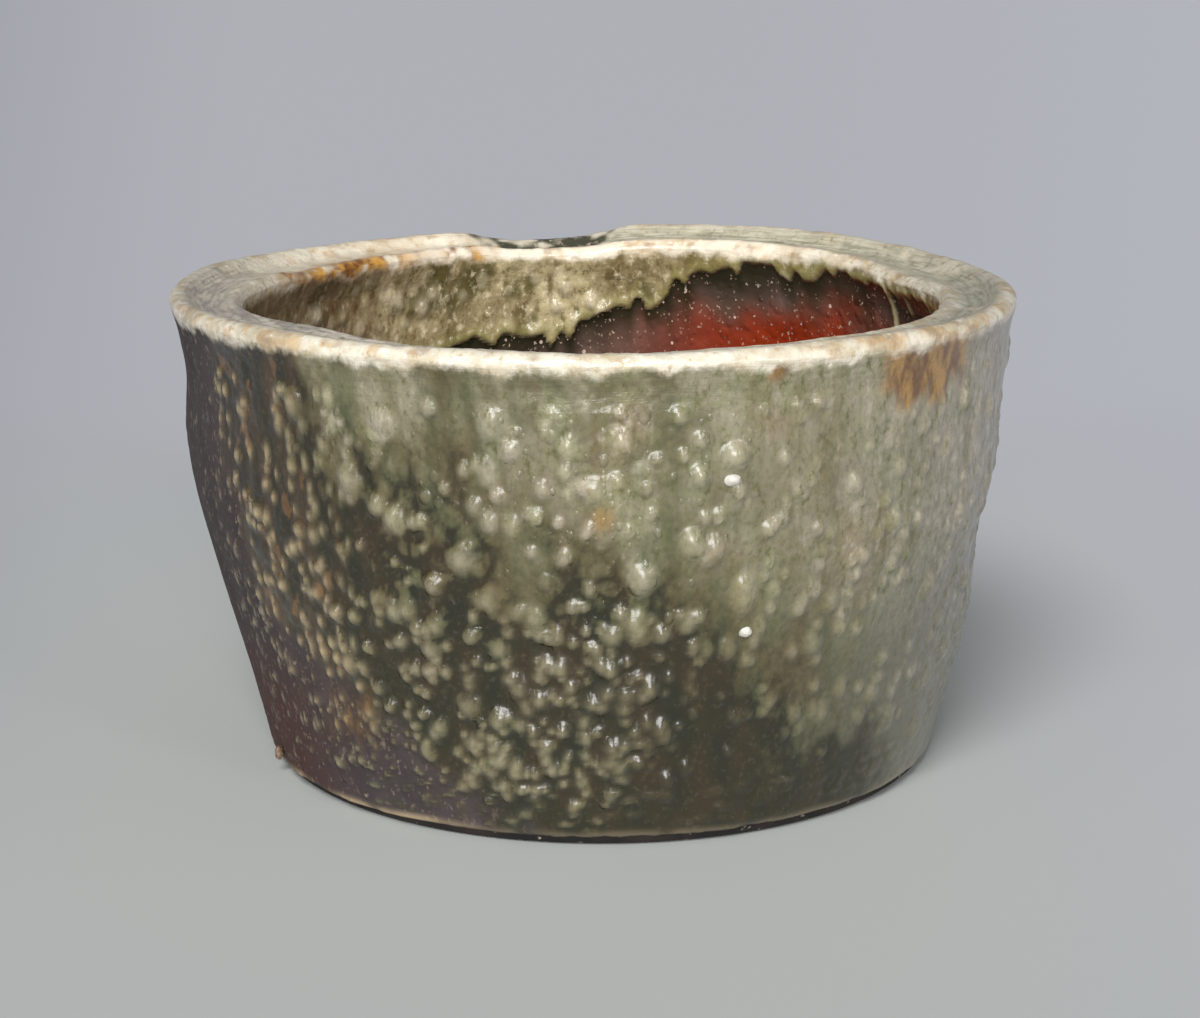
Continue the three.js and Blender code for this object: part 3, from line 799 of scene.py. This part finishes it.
def make_member(name, start, end, hidden, mask_names):
    """Spins section points start to end, closed by the hidden line, and gives it its masks."""
    line = np.concatenate([section[start:end + 1], np.array(hidden, dtype=float)])
    piece = add_object(name, spin_line(line, True))
    step, place = read_cells(piece.data)
    angle = np.repeat(direction, len(hidden), axis=1)
    hidden_far, hidden_up = np.repeat(line[None, end + 1 - start:], AROUND, axis=0).transpose(2, 0, 1)
    hidden_points = to_metres(angle, *shape_rim(angle, hidden_far, hidden_up))
    points = np.concatenate([surface[:, start:end + 1], hidden_points], axis=1)
    piece.data.vertices.foreach_set("co", points[step, place].ravel())
    keep_border_crisp(piece.data, place, (0, end - start))
    piece.data.attributes.remove(piece.data.attributes["place"])
    for mask_name in mask_names:
        values = np.pad(MASKS[mask_name][:, start:end + 1], ((0, 0), (0, len(hidden))), mode="edge")
        layer = piece.data.attributes.new(mask_name, "FLOAT", "POINT")
        layer.data.foreach_set("value", values[step, place].astype(np.float32))
    piece.data.update()
    print(name, len(piece.data.polygons), "faces")
    return piece


# %% [markdown]
# The three members of the glazed pot. The hidden lines lie inside the clay, where no light
# comes.

# %% Wall skin, rim and inside
lavender = hump(turned, 200, 50, 4)
MASKS.update(bead=bead_mask * np.where(is_inside, 0.7, contrast) * bead_share, tone=bead_tone, dark=dark,
             scorch=scorch, drops=drops, grey=grey_side, calm=calm, cool=cool, rust=rust, red_foot=red_foot,
             foot_line=foot_line, crust=crust, channel=channel_mask, ochre=ochre, dip=glass_dip,
             lavender=lavender, band=band, fringe=fringe, black=black_glass, blush=blush,
             hanging=hanging, inner=past_lip, drip=long_drip * past_lip)
OUTSIDE_MASKS = ["bead", "tone", "dark", "scorch", "drops", "grey", "calm", "cool", "rust", "red_foot",
                 "foot_line"]
INSIDE_MASKS = ["bead", "tone", "band", "fringe", "black", "blush", "hanging", "drip"]
RIM_MASKS = OUTSIDE_MASKS[:-2] + INSIDE_MASKS[2:] + ["crust", "channel", "lavender", "ochre", "dip", "inner"]

skin_back = [(float(skin_radius(h)) - 2.2, float(h)) for h in np.linspace(SEAT, FOOT_LIP + 0.5, 6)]
skin = make_member("ash_skin_outside", 0, SEAT_OUTSIDE, skin_back, OUTSIDE_MASKS)
rim_floor = [(float(far), SEAT) for far in np.linspace(inside_radius(SEAT), NECK, 6)[1:-1]]
rim = make_member("rim_collar", SEAT_OUTSIDE, SEAT_INSIDE, rim_floor, RIM_MASKS)
wall_back = [(float(inside_radius(h)) + 3.0, float(h)) for h in np.linspace(SLAB_TOP + 0.2, SEAT, 8)]
inner = make_member("wall_inside", SEAT_INSIDE, len(section) - 1, wall_back, INSIDE_MASKS)

# %% [markdown]
# The slab shows twice: as the floor inside, and as the dark undercut edge of the foot, which
# sits back under the glaze and throws the thin black shadow that lifts the bowl. Its clay there
# is painted nearly black, partly as painted shade.

# %% Base slab
FOOT_RADIUS = 62.0
FOOT_BEVEL = 1.6
clay_side = float(skin_radius(FOOT_BEVEL)) - GLAZE
slab_line = np.concatenate([
    even_steps(np.array([(0.0, 0.0), (FOOT_RADIUS, 0.0)]), 3.0),
    even_steps(pulled_curve((FOOT_RADIUS, 0.0), (clay_side, 0.0), (clay_side, FOOT_BEVEL)), 0.8)[1:],
    even_steps(np.array([(clay_side, FOOT_BEVEL), (clay_side, SLAB_TOP), (0.0, SLAB_TOP)]), 1.6)[1:],
])
slab = add_object("slab_foot", spin_line(slab_line, False))
step, place = read_cells(slab.data)
slab_far, slab_up = slab_line[place].T
on_floor = (slab_up > SLAB_TOP - 0.01) & (slab_far < inner_foot)
floor_chance = np.random.default_rng(41).random(4) * 6
slab_way = np.radians(step * STEP_ANGLE)
ripple = np.sin(slab_far * 0.55 + floor_chance[0] + 1.5 * np.sin(slab_way + floor_chance[1]))
ripple = 0.22 * ripple * step_up(slab_far, 2, 10) + 0.12 * np.sin(5 * slab_way + slab_far * 0.3)
slab_up = slab_up + np.where(on_floor, (ripple - 0.3) * step_up(slab_far, 1, 6), 0.0)
slab.data.vertices.foreach_set("co", to_metres(step * STEP_ANGLE, slab_far, slab_up).ravel())
slab.data.attributes.remove(slab.data.attributes["place"])
floor_layer = slab.data.attributes.new("floor", "FLOAT", "POINT")
floor_layer.data.foreach_set("value", on_floor.astype(np.float32))
slab.data.update()
print("slab", len(slab.data.polygons), "faces")

# %% [markdown]
# Stones and kiln grit are small lumps: an icosphere roughened by moving its vertices. Each
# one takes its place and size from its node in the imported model.

# %% Stones and grit
def lump(name, node, seed, roughness):
    low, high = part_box(node)
    shape = bmesh.new()
    bmesh.ops.create_icosphere(shape, subdivisions=4, radius=0.5)
    draws = np.random.default_rng(seed).normal(size=(9, 3)) * 5
    for vertex in shape.verts:
        waves = [math.sin(draw @ np.array(vertex.co) * 2 + index) for index, draw in enumerate(draws)]
        vertex.co *= 1 - roughness * (0.5 + 0.5 * sum(waves) / len(waves))
    bmesh.ops.scale(shape, vec=high - low, verts=shape.verts)
    bmesh.ops.translate(shape, vec=(low + high) / 2, verts=shape.verts)
    bmesh.ops.recalc_face_normals(shape, faces=shape.faces)
    return add_object(name, shape)


stone_upper = lump("feldspar_upper", "feldspar_stone_upper", 51, 0.25)
stone_lower = lump("feldspar_lower", "feldspar_stone_lower", 52, 0.25)
grit_left = lump("grit_left", "kiln_grit_left", 53, 0.4)
grit_right = lump("grit_right", "kiln_grit_right", 54, 0.4)
print("four lumps")

# %% [markdown]
# Fine chance for the shaders: plain noise that can be drawn out along the height, and two
# node groups. `ash_specks` makes ragged flecks, `round_dots` makes little domes of glass.

# %% Noise and specks
def noise_value(tree, scale, detail=3.0, stretch=1.0, roughness=0.5):
    mapped = add_node(tree, "ShaderNodeMapping", {"Vector": object_place(tree), "Scale": (1.0, 1.0, stretch)})
    values = {"Vector": mapped.outputs[0], "Scale": scale, "Detail": detail, "Roughness": roughness}
    return add_node(tree, "ShaderNodeTexNoise", values).outputs[0]


def new_group(name, inputs):
    group = bpy.data.node_groups.new(name, "ShaderNodeTree")
    for label, value in inputs:
        socket = group.interface.new_socket(label, in_out="INPUT", socket_type="NodeSocketFloat")
        socket.default_value = value
    group.interface.new_socket("Mask", in_out="OUTPUT", socket_type="NodeSocketFloat")
    return group, group.nodes.new("NodeGroupInput"), group.nodes.new("NodeGroupOutput")


def drawn_out(group, stretch):
    """Object coordinates with the height squeezed, so that patterns are drawn out upright."""
    parts = split(group, object_place(group))
    return join(group, X=parts["X"], Y=parts["Y"], Z=maths(group, "MULTIPLY", parts["Z"], stretch))


def make_speck_group():
    group, given, result = new_group("ash_specks", [("Scale", 600.0), ("Stretch", 0.5), ("Cover", 0.6),
                                                    ("Softness", 0.08)])
    place = drawn_out(group, given.outputs["Stretch"])
    noise = add_node(group, "ShaderNodeTexNoise", {"Vector": place, "Scale": given.outputs["Scale"],
                                                   "Detail": 3.0, "Roughness": 0.55})
    high = maths(group, "ADD", given.outputs["Cover"], given.outputs["Softness"])
    limits = {"Value": noise.outputs[0], "From Min": given.outputs["Cover"], "From Max": high}
    mask = add_node(group, "ShaderNodeMapRange", limits)
    group.links.new(mask.outputs[0], result.inputs["Mask"])
    return group


def make_dot_group():
    inputs = [("Scale", 400.0), ("Stretch", 1.0), ("Size", 0.4), ("Share", 0.3)]
    group, given, result = new_group("round_dots", inputs)
    place = drawn_out(group, given.outputs["Stretch"])
    cells = add_node(group, "ShaderNodeTexVoronoi", {"Vector": place, "Scale": given.outputs["Scale"]})
    parts = add_node(group, "ShaderNodeSeparateColor", {0: cells.outputs["Color"]})
    size = maths(group, "MULTIPLY", mix_value(group, parts.outputs[1], 0.45, 1.0), given.outputs["Size"])
    share_of_size = maths(group, "DIVIDE", cells.outputs["Distance"], size)
    dome = maths(group, "SUBTRACT", 1.0, maths(group, "POWER", share_of_size, 2.0))
    chosen = maths(group, "LESS_THAN", parts.outputs[0], given.outputs["Share"])
    mask = maths(group, "MULTIPLY", maths(group, "MAXIMUM", dome, 0.0), chosen)
    group.links.new(mask, result.inputs["Mask"])
    return group


SPECK_GROUP = make_speck_group()
DOT_GROUP = make_dot_group()


def group_mask(tree, group, values):
    node = add_node(tree, "ShaderNodeGroup", node_tree=group)
    for label, value in values.items():
        node.inputs[label].default_value = value
    return node.outputs["Mask"]


def specks(tree, scale, stretch, cover, softness=0.08):
    values = {"Scale": scale, "Stretch": stretch, "Cover": cover, "Softness": softness}
    return group_mask(tree, SPECK_GROUP, values)


def dots(tree, scale, stretch, size, share):
    return group_mask(tree, DOT_GROUP, {"Scale": scale, "Stretch": stretch, "Size": size, "Share": share})


def chips(tree, scale, size, share):
    return ramp(tree, dots(tree, scale, 0.8, size, share), 0.15, 0.5)


# %% [markdown]
# Most finishes are built like a painter's washes: a base colour, then a second colour laid over
# it where a mask says so. `wash` does one such layer. `small_beads` gives the beads that are
# too small to be modelled, as domes that both the colour and the bump can use.

# %% Washes and small beads
def wash(tree, base, mask, over, share=1.0):
    """Lays the colour `over` on the base where the mask is, at a share of the mask."""
    if share != 1.0:
        mask = maths(tree, "MULTIPLY", mask, share)
    return mix_colour(tree, mask, base, over)


def small_beads(tree):
    """Domes from 0 to 1 for the beads that are too small to be modelled, in three sizes."""
    wide = ramp(tree, dots(tree, 190.0, 0.8, 0.44, 0.42), 0.0, 1.0)
    middle = maths(tree, "MULTIPLY", ramp(tree, dots(tree, 360.0, 0.75, 0.44, 0.45), 0.0, 1.0), 0.6)
    fine = maths(tree, "MULTIPLY", ramp(tree, dots(tree, 700.0, 0.7, 0.45, 0.45), 0.0, 1.0), 0.3)
    return maths(tree, "MAXIMUM", wide, maths(tree, "MAXIMUM", middle, fine))


def outside_beads(tree):
    """The same beads on the wall, fewer in dark glass and on the calm right side."""
    few = mix_value(tree, ramp(tree, attribute(tree, "dark"), 0.92, 1.12), 1.0, 0.25)
    few = maths(tree, "MULTIPLY", few, mix_value(tree, attribute(tree, "calm"), 1.0, 0.3))
    return maths(tree, "MULTIPLY", small_beads(tree), few)


# %% [markdown]
# The ash glass outside is hazy olive and warm grey, with brown patches, upright streaks and a
# fine mottle. The right side is greyer.

# %% Hazy glass
def hazy_glass(tree, streaks, mottle):
    patches = ramp(tree, noise_value(tree, 34.0, 3.0, 0.55), 0.4, 0.62)
    olive = mix_colour(tree, patches, colour(0.31, 0.295, 0.175), colour(0.26, 0.265, 0.14))
    warm = mix_colour(tree, patches, colour(0.375, 0.325, 0.235), colour(0.32, 0.29, 0.195))
    haze = mix_colour(tree, attribute(tree, "tone"), olive, warm)
    brown = ramp(tree, noise_value(tree, 70.0, 3.0, 0.6), 0.52, 0.68)
    haze = wash(tree, haze, brown, colour(0.25, 0.17, 0.075), 0.6)
    side = mix_colour(tree, attribute(tree, "cool"), colour(0.32, 0.283, 0.215), colour(0.165, 0.158, 0.138))
    haze = wash(tree, haze, attribute(tree, "grey"), side, 0.75)
    haze = wash(tree, haze, streaks, colour(0.13, 0.11, 0.035), 0.5)
    haze = wash(tree, haze, ramp(tree, mottle, 0.5, 0.75), colour(0.58, 0.515, 0.40), 0.8)
    return wash(tree, haze, ramp(tree, mottle, 0.5, 0.28), colour(0.12, 0.12, 0.04))


# %% [markdown]
# Where the glass pools between the beads it goes through a middle olive to nearly black. The
# same mask also carries the painted shade low on the wall and the painted shadow under the
# rim. Two ramps on one mask give that depth.

# %% Pooled glass
def pooled_glass(tree, haze, mottle):
    hue = ramp(tree, noise_value(tree, 200.0, 3.0, 0.4), 0.3, 0.7)
    middle = mix_colour(tree, hue, colour(0.089, 0.090, 0.038), colour(0.115, 0.088, 0.038))
    middle = wash(tree, middle, attribute(tree, "grey"), colour(0.125, 0.118, 0.080))
    deep = mix_colour(tree, hue, colour(0.013, 0.014, 0.004), colour(0.032, 0.021, 0.006))
    deep = wash(tree, deep, attribute(tree, "grey"), colour(0.022, 0.021, 0.009))
    soft_mottle = maths(tree, "MULTIPLY", mottle, mix_value(tree, attribute(tree, "grey"), 0.5, 0.3))
    depth = maths(tree, "ADD", attribute(tree, "dark"), soft_mottle)
    glass = wash(tree, haze, ramp(tree, depth, 0.18, 0.92), middle)
    return wash(tree, glass, ramp(tree, depth, 0.8, 1.3), deep)


# %% [markdown]
# A bead is milky only near its top, and less so in dark glass; that pale top is partly a painted
# sheen. Beside the scorched side the drops are creamy, with brown runs and orange specks between
# them.

# %% Milky beads and painted sheen
def milky_beads_and_sheen(tree, glass, streaks, mottle):
    # Pale bead tops: milky glass, and partly a painted sheen.
    milk_and_sheen = mix_colour(tree, attribute(tree, "tone"), colour(0.43, 0.385, 0.24), colour(0.54, 0.455, 0.36))
    in_dark = maths(tree, "MINIMUM", maths(tree, "MULTIPLY", attribute(tree, "dark"), 1.1), 1.0)
    milk_and_sheen = wash(tree, milk_and_sheen, in_dark, colour(0.178, 0.153, 0.085))
    milk_and_sheen = wash(tree, milk_and_sheen, attribute(tree, "drops"), colour(0.52, 0.40, 0.235))
    milk_and_sheen_mask = maths(tree, "MULTIPLY", attribute(tree, "bead"), mix_value(tree, mottle, 0.75, 1.25))
    little_share = mix_value(tree, attribute(tree, "drops"), 0.3, 0.5)
    little = maths(tree, "MULTIPLY", maths(tree, "POWER", outside_beads(tree), 1.6), little_share)
    glass = wash(tree, glass, maths(tree, "MAXIMUM", milk_and_sheen_mask, little), milk_and_sheen)
    brown_run = maths(tree, "MULTIPLY", attribute(tree, "drops"), maths(tree, "MULTIPLY", streaks, 0.35))
    glass = wash(tree, glass, brown_run, colour(0.15, 0.085, 0.045))
    orange = maths(tree, "MULTIPLY", attribute(tree, "drops"), specks(tree, 300.0, 0.6, 0.58))
    return wash(tree, glass, orange, colour(0.22, 0.11, 0.04), 0.6)


# %% [markdown]
# The scorched side is purple-black clay with fine beige flecks. Rust stains and the pale line
# at the foot come last, over glass and clay alike.

# %% Scorched clay and the whole outside
def scorched_clay(tree):
    clay = mix_colour(tree, noise_value(tree, 120.0, 5.0, 0.5), colour(0.032, 0.025, 0.025),
                      colour(0.092, 0.073, 0.073))
    clay = wash(tree, clay, attribute(tree, "red_foot"), colour(0.075, 0.031, 0.026), 0.7)
    flecks = maths(tree, "MAXIMUM", specks(tree, 430.0, 0.6, 0.62, 0.14),
                   specks(tree, 1100.0, 0.7, 0.6, 0.16))
    return wash(tree, clay, flecks, colour(0.34, 0.27, 0.20), 0.7)


def outside_glass(tree):
    streaks = ramp(tree, noise_value(tree, 200.0, 4.0, 0.16), 0.46, 0.66)
    mottle = noise_value(tree, 620.0, 4.0, 0.6, 0.65)
    glass = pooled_glass(tree, hazy_glass(tree, streaks, mottle), mottle)
    glass = milky_beads_and_sheen(tree, glass, streaks, mottle)
    grain = noise_value(tree, 1100.0, 3.0, 0.8, 0.6)
    glass = wash(tree, glass, ramp(tree, grain, 0.55, 0.3), colour(0.02, 0.018, 0.008), 0.22)
    glass = wash(tree, glass, ramp(tree, grain, 0.52, 0.75), colour(0.42, 0.37, 0.26), 0.07)
    glass = wash(tree, glass, attribute(tree, "scorch"), scorched_clay(tree))
    stain = mix_colour(tree, ramp(tree, noise_value(tree, 420.0, 4.0, 0.45, 0.65), 0.36, 0.64),
                       colour(0.13, 0.05, 0.01), colour(0.37, 0.20, 0.045))
    ragged = maths(tree, "ADD", attribute(tree, "rust"), maths(tree, "MULTIPLY", mottle, 0.5))
    glass = wash(tree, glass, ramp(tree, ragged, 0.35, 0.95), stain, 0.85)
    return wash(tree, glass, attribute(tree, "foot_line"), colour(0.55, 0.42, 0.26))


# %% [markdown]
# Ash glass is a bright glaze with a clear melted coat on it. Scorched clay is duller and has
# no coat. Values that are the same all over are set on the shader itself.

# %% Outside material
def glassy(shader):
    shader.inputs["IOR"].default_value = 1.55
    shader.inputs["Coat Weight"].default_value = 0.3
    shader.inputs["Coat Roughness"].default_value = 0.18
    shader.inputs["Coat IOR"].default_value = 1.55


def duller_where(tree, shader, mask):
    """Takes the coat and most of the gloss away where the mask is."""
    tree.links.new(mix_value(tree, mask, 0.3, 0.0), shader.inputs["Coat Weight"])
    tree.links.new(mix_value(tree, mask, 0.5, 0.2), shader.inputs["Specular IOR Level"])


def outside_roughness(tree):
    rough = mix_value(tree, attribute(tree, "scorch"), 0.28, 0.8)
    return mix_value(tree, ramp(tree, attribute(tree, "bead"), 0.05, 0.3), rough, 0.26)


def surface_bump(tree, strength, distance, *layers):
    """Fine bumps: each layer is a height and its share."""
    total = None
    for value, share in layers:
        part = maths(tree, "MULTIPLY", value, share)
        total = part if total is None else maths(tree, "ADD", total, part)
    values = {"Strength": strength, "Distance": distance, "Height": total}
    return add_node(tree, "ShaderNodeBump", values).outputs[0]


outside_material, tree, shader = new_material("ash_glaze_olive")
tree.links.new(outside_glass(tree), shader.inputs["Base Color"])
tree.links.new(outside_roughness(tree), shader.inputs["Roughness"])
glassy(shader)
duller_where(tree, shader, attribute(tree, "scorch"))
off_beads = ramp(tree, attribute(tree, "bead"), 0.3, 0.05)
fine_noise = maths(tree, "MULTIPLY", noise_value(tree, 300.0, 2.0, 0.5), 0.3)
fine_bumps = maths(tree, "ADD", fine_noise, outside_beads(tree))
glaze_bump = surface_bump(tree, 0.8, 0.0007, (maths(tree, "MULTIPLY", fine_bumps, off_beads), 0.8))
tree.links.new(glaze_bump, shader.inputs["Normal"])
print(len(tree.nodes), "nodes in the outside glass")

# %% [markdown]
# The bare clay inside goes from purple to red, is black under the glass and is dotted with pale
# chips. The glass over it is amber-olive with brown streaks, and yellow-green at its ragged edge.

# %% Colour of the inside
def inside_clay(tree):
    clay = mix_colour(tree, noise_value(tree, 110.0, 5.0),
                      colour(0.075, 0.045, 0.035), colour(0.26, 0.17, 0.135))
    red = mix_colour(tree, noise_value(tree, 140.0, 4.0),
                     colour(0.21, 0.022, 0.007), colour(0.36, 0.042, 0.011))
    clay = wash(tree, clay, attribute(tree, "blush"), red)
    clay = wash(tree, clay, attribute(tree, "black"), colour(0.022, 0.02, 0.009))
    clay = wash(tree, clay, chips(tree, 520.0, 0.26, 0.16), colour(0.66, 0.50, 0.42))
    clay = wash(tree, clay, chips(tree, 1150.0, 0.42, 0.3), colour(0.46, 0.30, 0.22), 0.45)
    return wash(tree, clay, specks(tree, 900.0, 0.8, 0.66, 0.04), colour(0.50, 0.38, 0.28))


def inside_glass(tree):
    amber = mix_colour(tree, ramp(tree, noise_value(tree, 46.0, 3.0, 0.6), 0.38, 0.64),
                       colour(0.29, 0.22, 0.11), colour(0.54, 0.45, 0.25))
    streaks = ramp(tree, noise_value(tree, 170.0, 4.0, 0.3), 0.46, 0.64)
    amber = wash(tree, amber, streaks, colour(0.12, 0.078, 0.025), 0.8)
    brown = ramp(tree, noise_value(tree, 75.0, 3.0, 0.8), 0.54, 0.66)
    amber = wash(tree, amber, brown, colour(0.10, 0.085, 0.03))
    mottle = noise_value(tree, 560.0, 4.0, 0.7, 0.65)
    amber = wash(tree, amber, ramp(tree, mottle, 0.5, 0.78), colour(0.82, 0.70, 0.46))
    amber = wash(tree, amber, ramp(tree, mottle, 0.5, 0.28), colour(0.14, 0.11, 0.04))
    amber = wash(tree, amber, attribute(tree, "fringe"), colour(0.28, 0.245, 0.08), 0.75)
    # Dark hanging streaks, with painted shade at the left end.
    amber = wash(tree, amber, attribute(tree, "hanging"), colour(0.075, 0.042, 0.018), 0.8)
    # Pale bead tops: milky glass, and partly a painted sheen.
    milk_and_sheen = mix_colour(tree, attribute(tree, "tone"), colour(0.58, 0.50, 0.28), colour(0.72, 0.62, 0.46))
    amber = wash(tree, amber, attribute(tree, "bead"), milk_and_sheen)
    amber = wash(tree, amber, small_beads(tree), milk_and_sheen, 0.4)
    amber = wash(tree, amber, attribute(tree, "drip"), colour(0.62, 0.56, 0.32))
    return wash(tree, inside_clay(tree), attribute(tree, "band"), amber)


def inside_roughness(tree):
    return mix_value(tree, attribute(tree, "band"), 0.4, 0.24)


# %% Inside material
inside_material, tree, shader = new_material("inside_glaze")
tree.links.new(inside_glass(tree), shader.inputs["Base Color"])
tree.links.new(inside_roughness(tree), shader.inputs["Roughness"])
glassy(shader)
tree.links.new(mix_value(tree, attribute(tree, "band"), 0.0, 0.3), shader.inputs["Coat Weight"])
tree.links.new(mix_value(tree, attribute(tree, "band"), 0.03, 0.5), shader.inputs["Specular IOR Level"])
inside_bump = surface_bump(tree, 0.6, 0.0007, (noise_value(tree, 420.0, 3.0), 0.8), (small_beads(tree), 0.8))
tree.links.new(inside_bump, shader.inputs["Normal"])
print(len(tree.nodes), "nodes in the inside glass")

# %% [markdown]
# The rim's crust is cream with fine strokes that follow the rim. For strokes that run round
# without a seam, the direction is used as a point on a circle, and the radius is drawn out.

# %% Strokes round the rim
def rim_strokes(tree, length, width):
    """Noise drawn out round the rim, with a stroke's length and width in millimetres."""
    parts = split(tree, object_place(tree))
    flat = join(tree, X=parts["X"], Y=parts["Y"])
    way = vector_maths(tree, "NORMALIZE", {0: flat})
    far = vector_maths(tree, "LENGTH", {0: flat})
    round_way = vector_maths(tree, "SCALE", {0: way, "Scale": SHOULDER / length})
    across = maths(tree, "MULTIPLY", maths(tree, "ADD", far, parts["Z"]), 1 / (width * MM))
    point = vector_maths(tree, "ADD", {0: round_way, 1: join(tree, Z=across)})
    return add_node(tree, "ShaderNodeTexNoise", {"Vector": point, "Scale": 1.0, "Detail": 3.0}).outputs[0]


# %% [markdown]
# The crust takes on warmer patches at the back, lightened there by a painted highlight,
# grey-green glass in the channel, orange flashes and the dark flecked glass of the dip.

# %% Colour of the crust
def channel_glass(tree, strokes, grain):
    green_grey = mix_colour(tree, ramp(tree, strokes, 0.2, 0.75), colour(0.26, 0.25, 0.165),
                            colour(0.56, 0.52, 0.40))
    lavender_grey = mix_colour(tree, ramp(tree, strokes, 0.34, 0.66), colour(0.33, 0.29, 0.25),
                               colour(0.64, 0.57, 0.46))
    green_grey = wash(tree, green_grey, attribute(tree, "lavender"), lavender_grey)
    return wash(tree, green_grey, ramp(tree, grain, 0.5, 0.28), colour(0.14, 0.09, 0.05), 0.6)


def crust_colour(tree, strokes, grain):
    cream = mix_colour(tree, ramp(tree, noise_value(tree, 150.0, 4.0), 0.4, 0.64),
                       colour(0.80, 0.735, 0.59), colour(0.58, 0.48, 0.32))
    cream = wash(tree, cream, ramp(tree, strokes, 0.5, 0.7), colour(0.47, 0.42, 0.31), 0.6)
    cream = wash(tree, cream, ramp(tree, grain, 0.48, 0.25), colour(0.52, 0.40, 0.24))
    cream = wash(tree, cream, ramp(tree, grain, 0.55, 0.75), colour(0.93, 0.88, 0.79))
    # Towards the back the crust is warmer and lighter: warm patches, and a painted highlight.
    towards_back = split(tree, object_place(tree))["Y"]
    back_patches_and_highlight = mix_colour(tree, ramp(tree, noise_value(tree, 95.0, 4.0), 0.48, 0.62),
                              colour(0.98, 0.86, 0.68), colour(0.74, 0.57, 0.37))
    cream = wash(tree, cream, ramp(tree, towards_back, 0.03, 0.06), back_patches_and_highlight, 0.6)
    cream = wash(tree, cream, attribute(tree, "channel"), channel_glass(tree, strokes, grain))
    orange = mix_colour(tree, ramp(tree, noise_value(tree, 330.0, 3.0), 0.35, 0.65),
                        colour(0.16, 0.05, 0.006), colour(0.58, 0.29, 0.05))
    cream = wash(tree, cream, attribute(tree, "ochre"), orange)
    dip_glass = mix_colour(tree, specks(tree, 640.0, 1.0, 0.55, 0.16), colour(0.05, 0.05, 0.028),
                           colour(0.42, 0.33, 0.26))
    return wash(tree, cream, attribute(tree, "dip"), dip_glass)


# %% [markdown]
# Where the crust ends, the rim wears the wall's own glass, outside or inside, so the finishes
# meet without a line.

# %% Rim material
rim_material, tree, shader = new_material("cream_crust")
strokes = rim_strokes(tree, 7.0, 0.9)
grain = noise_value(tree, 700.0, 4.0, 1.0, 0.65)
under = mix_colour(tree, attribute(tree, "inner"), outside_glass(tree), inside_glass(tree))
ragged = maths(tree, "ADD", attribute(tree, "crust"), maths(tree, "MULTIPLY", grain, 0.7))
ragged = ramp(tree, ragged, 0.55, 1.25)
tree.links.new(wash(tree, under, ragged, crust_colour(tree, strokes, grain)), shader.inputs["Base Color"])
under_rough = mix_value(tree, attribute(tree, "inner"), outside_roughness(tree), inside_roughness(tree))
tree.links.new(mix_value(tree, ragged, under_rough, 0.3), shader.inputs["Roughness"])
glassy(shader)
bare = maths(tree, "MULTIPLY", attribute(tree, "scorch"), mix_value(tree, ragged, 1.0, 0.0))
duller_where(tree, shader, bare)
rim_bump = surface_bump(tree, 0.55, 0.0006, (noise_value(tree, 420.0, 3.0), 0.7), (strokes, 0.5),
                        (noise_value(tree, 1300.0, 3.0), 0.3))
tree.links.new(rim_bump, shader.inputs["Normal"])
print(len(tree.nodes), "nodes in the crust")

# %% [markdown]
# Bare clay and grit are matte and feldspar is satin, each with its own grain. The slab's floor
# wears the same scorched clay as the wall above it. The bare clay under the foot is nearly black:
# its own dark clay and painted shade.

# %% Clay, stone and grit materials
def grainy(name, darker, lighter, scale, roughness, strength):
    material, tree, shader = new_material(name)
    base = mix_colour(tree, ramp(tree, noise_value(tree, scale, 5.0), 0.35, 0.65), darker, lighter)
    base = wash(tree, base, specks(tree, scale * 4, 1.0, 0.66), colour(0.42, 0.37, 0.29))
    tree.links.new(base, shader.inputs["Base Color"])
    shader.inputs["Roughness"].default_value = roughness
    grain = surface_bump(tree, strength, 0.0005, (noise_value(tree, scale * 6, 5.0), 1.0))
    tree.links.new(grain, shader.inputs["Normal"])
    return material, tree, shader, base


# Nearly black bare clay for the foot's undercut edge: dark clay and painted shade.
clay_material, tree, shader, clay_base_and_shade = grainy(
    "bare_clay", colour(0.007, 0.005, 0.005), colour(0.022, 0.015, 0.012), 120.0, 0.85, 0.6)
floor_clay = mix_colour(tree, noise_value(tree, 60.0, 5.0),
                        colour(0.04, 0.024, 0.02), colour(0.17, 0.07, 0.045))
floor_clay = wash(tree, floor_clay, chips(tree, 520.0, 0.26, 0.16), colour(0.60, 0.46, 0.38))
tree.links.new(mix_colour(tree, attribute(tree, "floor"), clay_base_and_shade, floor_clay), shader.inputs["Base Color"])
feldspar_material = grainy("feldspar", colour(0.46, 0.43, 0.37), colour(0.66, 0.63, 0.57), 400.0, 0.3, 0.2)[0]
grit_material = grainy("kiln_grit", colour(0.09, 0.035, 0.025), colour(0.3, 0.2, 0.13), 500.0, 0.75, 0.7)[0]

# %% [markdown]
# Every piece takes the place of its node and rides on the one body.

# %% Hand the pieces over
PIECES = [
    (skin, outside_material, ["ash_glaze_outside"], "olive_ash_glaze"),
    (rim, rim_material, ["rim"], "cream_ash_glaze"),
    (inner, inside_material, ["wall", "ash_glaze_inside"], "amber_ash_glaze"),
    (slab, clay_material, ["base_slab"], "bare_clay"),
    (stone_upper, feldspar_material, ["feldspar_stone_upper"], "feldspar"),
    (stone_lower, feldspar_material, ["feldspar_stone_lower"], "feldspar"),
    (grit_left, grit_material, ["kiln_grit_left"], "kiln_grit"),
    (grit_right, grit_material, ["kiln_grit_right"], "kiln_grit"),
]
for piece, material, nodes, slot in PIECES:
    piece.data.materials.append(material)
    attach(piece, "root")
    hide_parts(*nodes)
print(len(PIECES), "pieces ride on the root body")
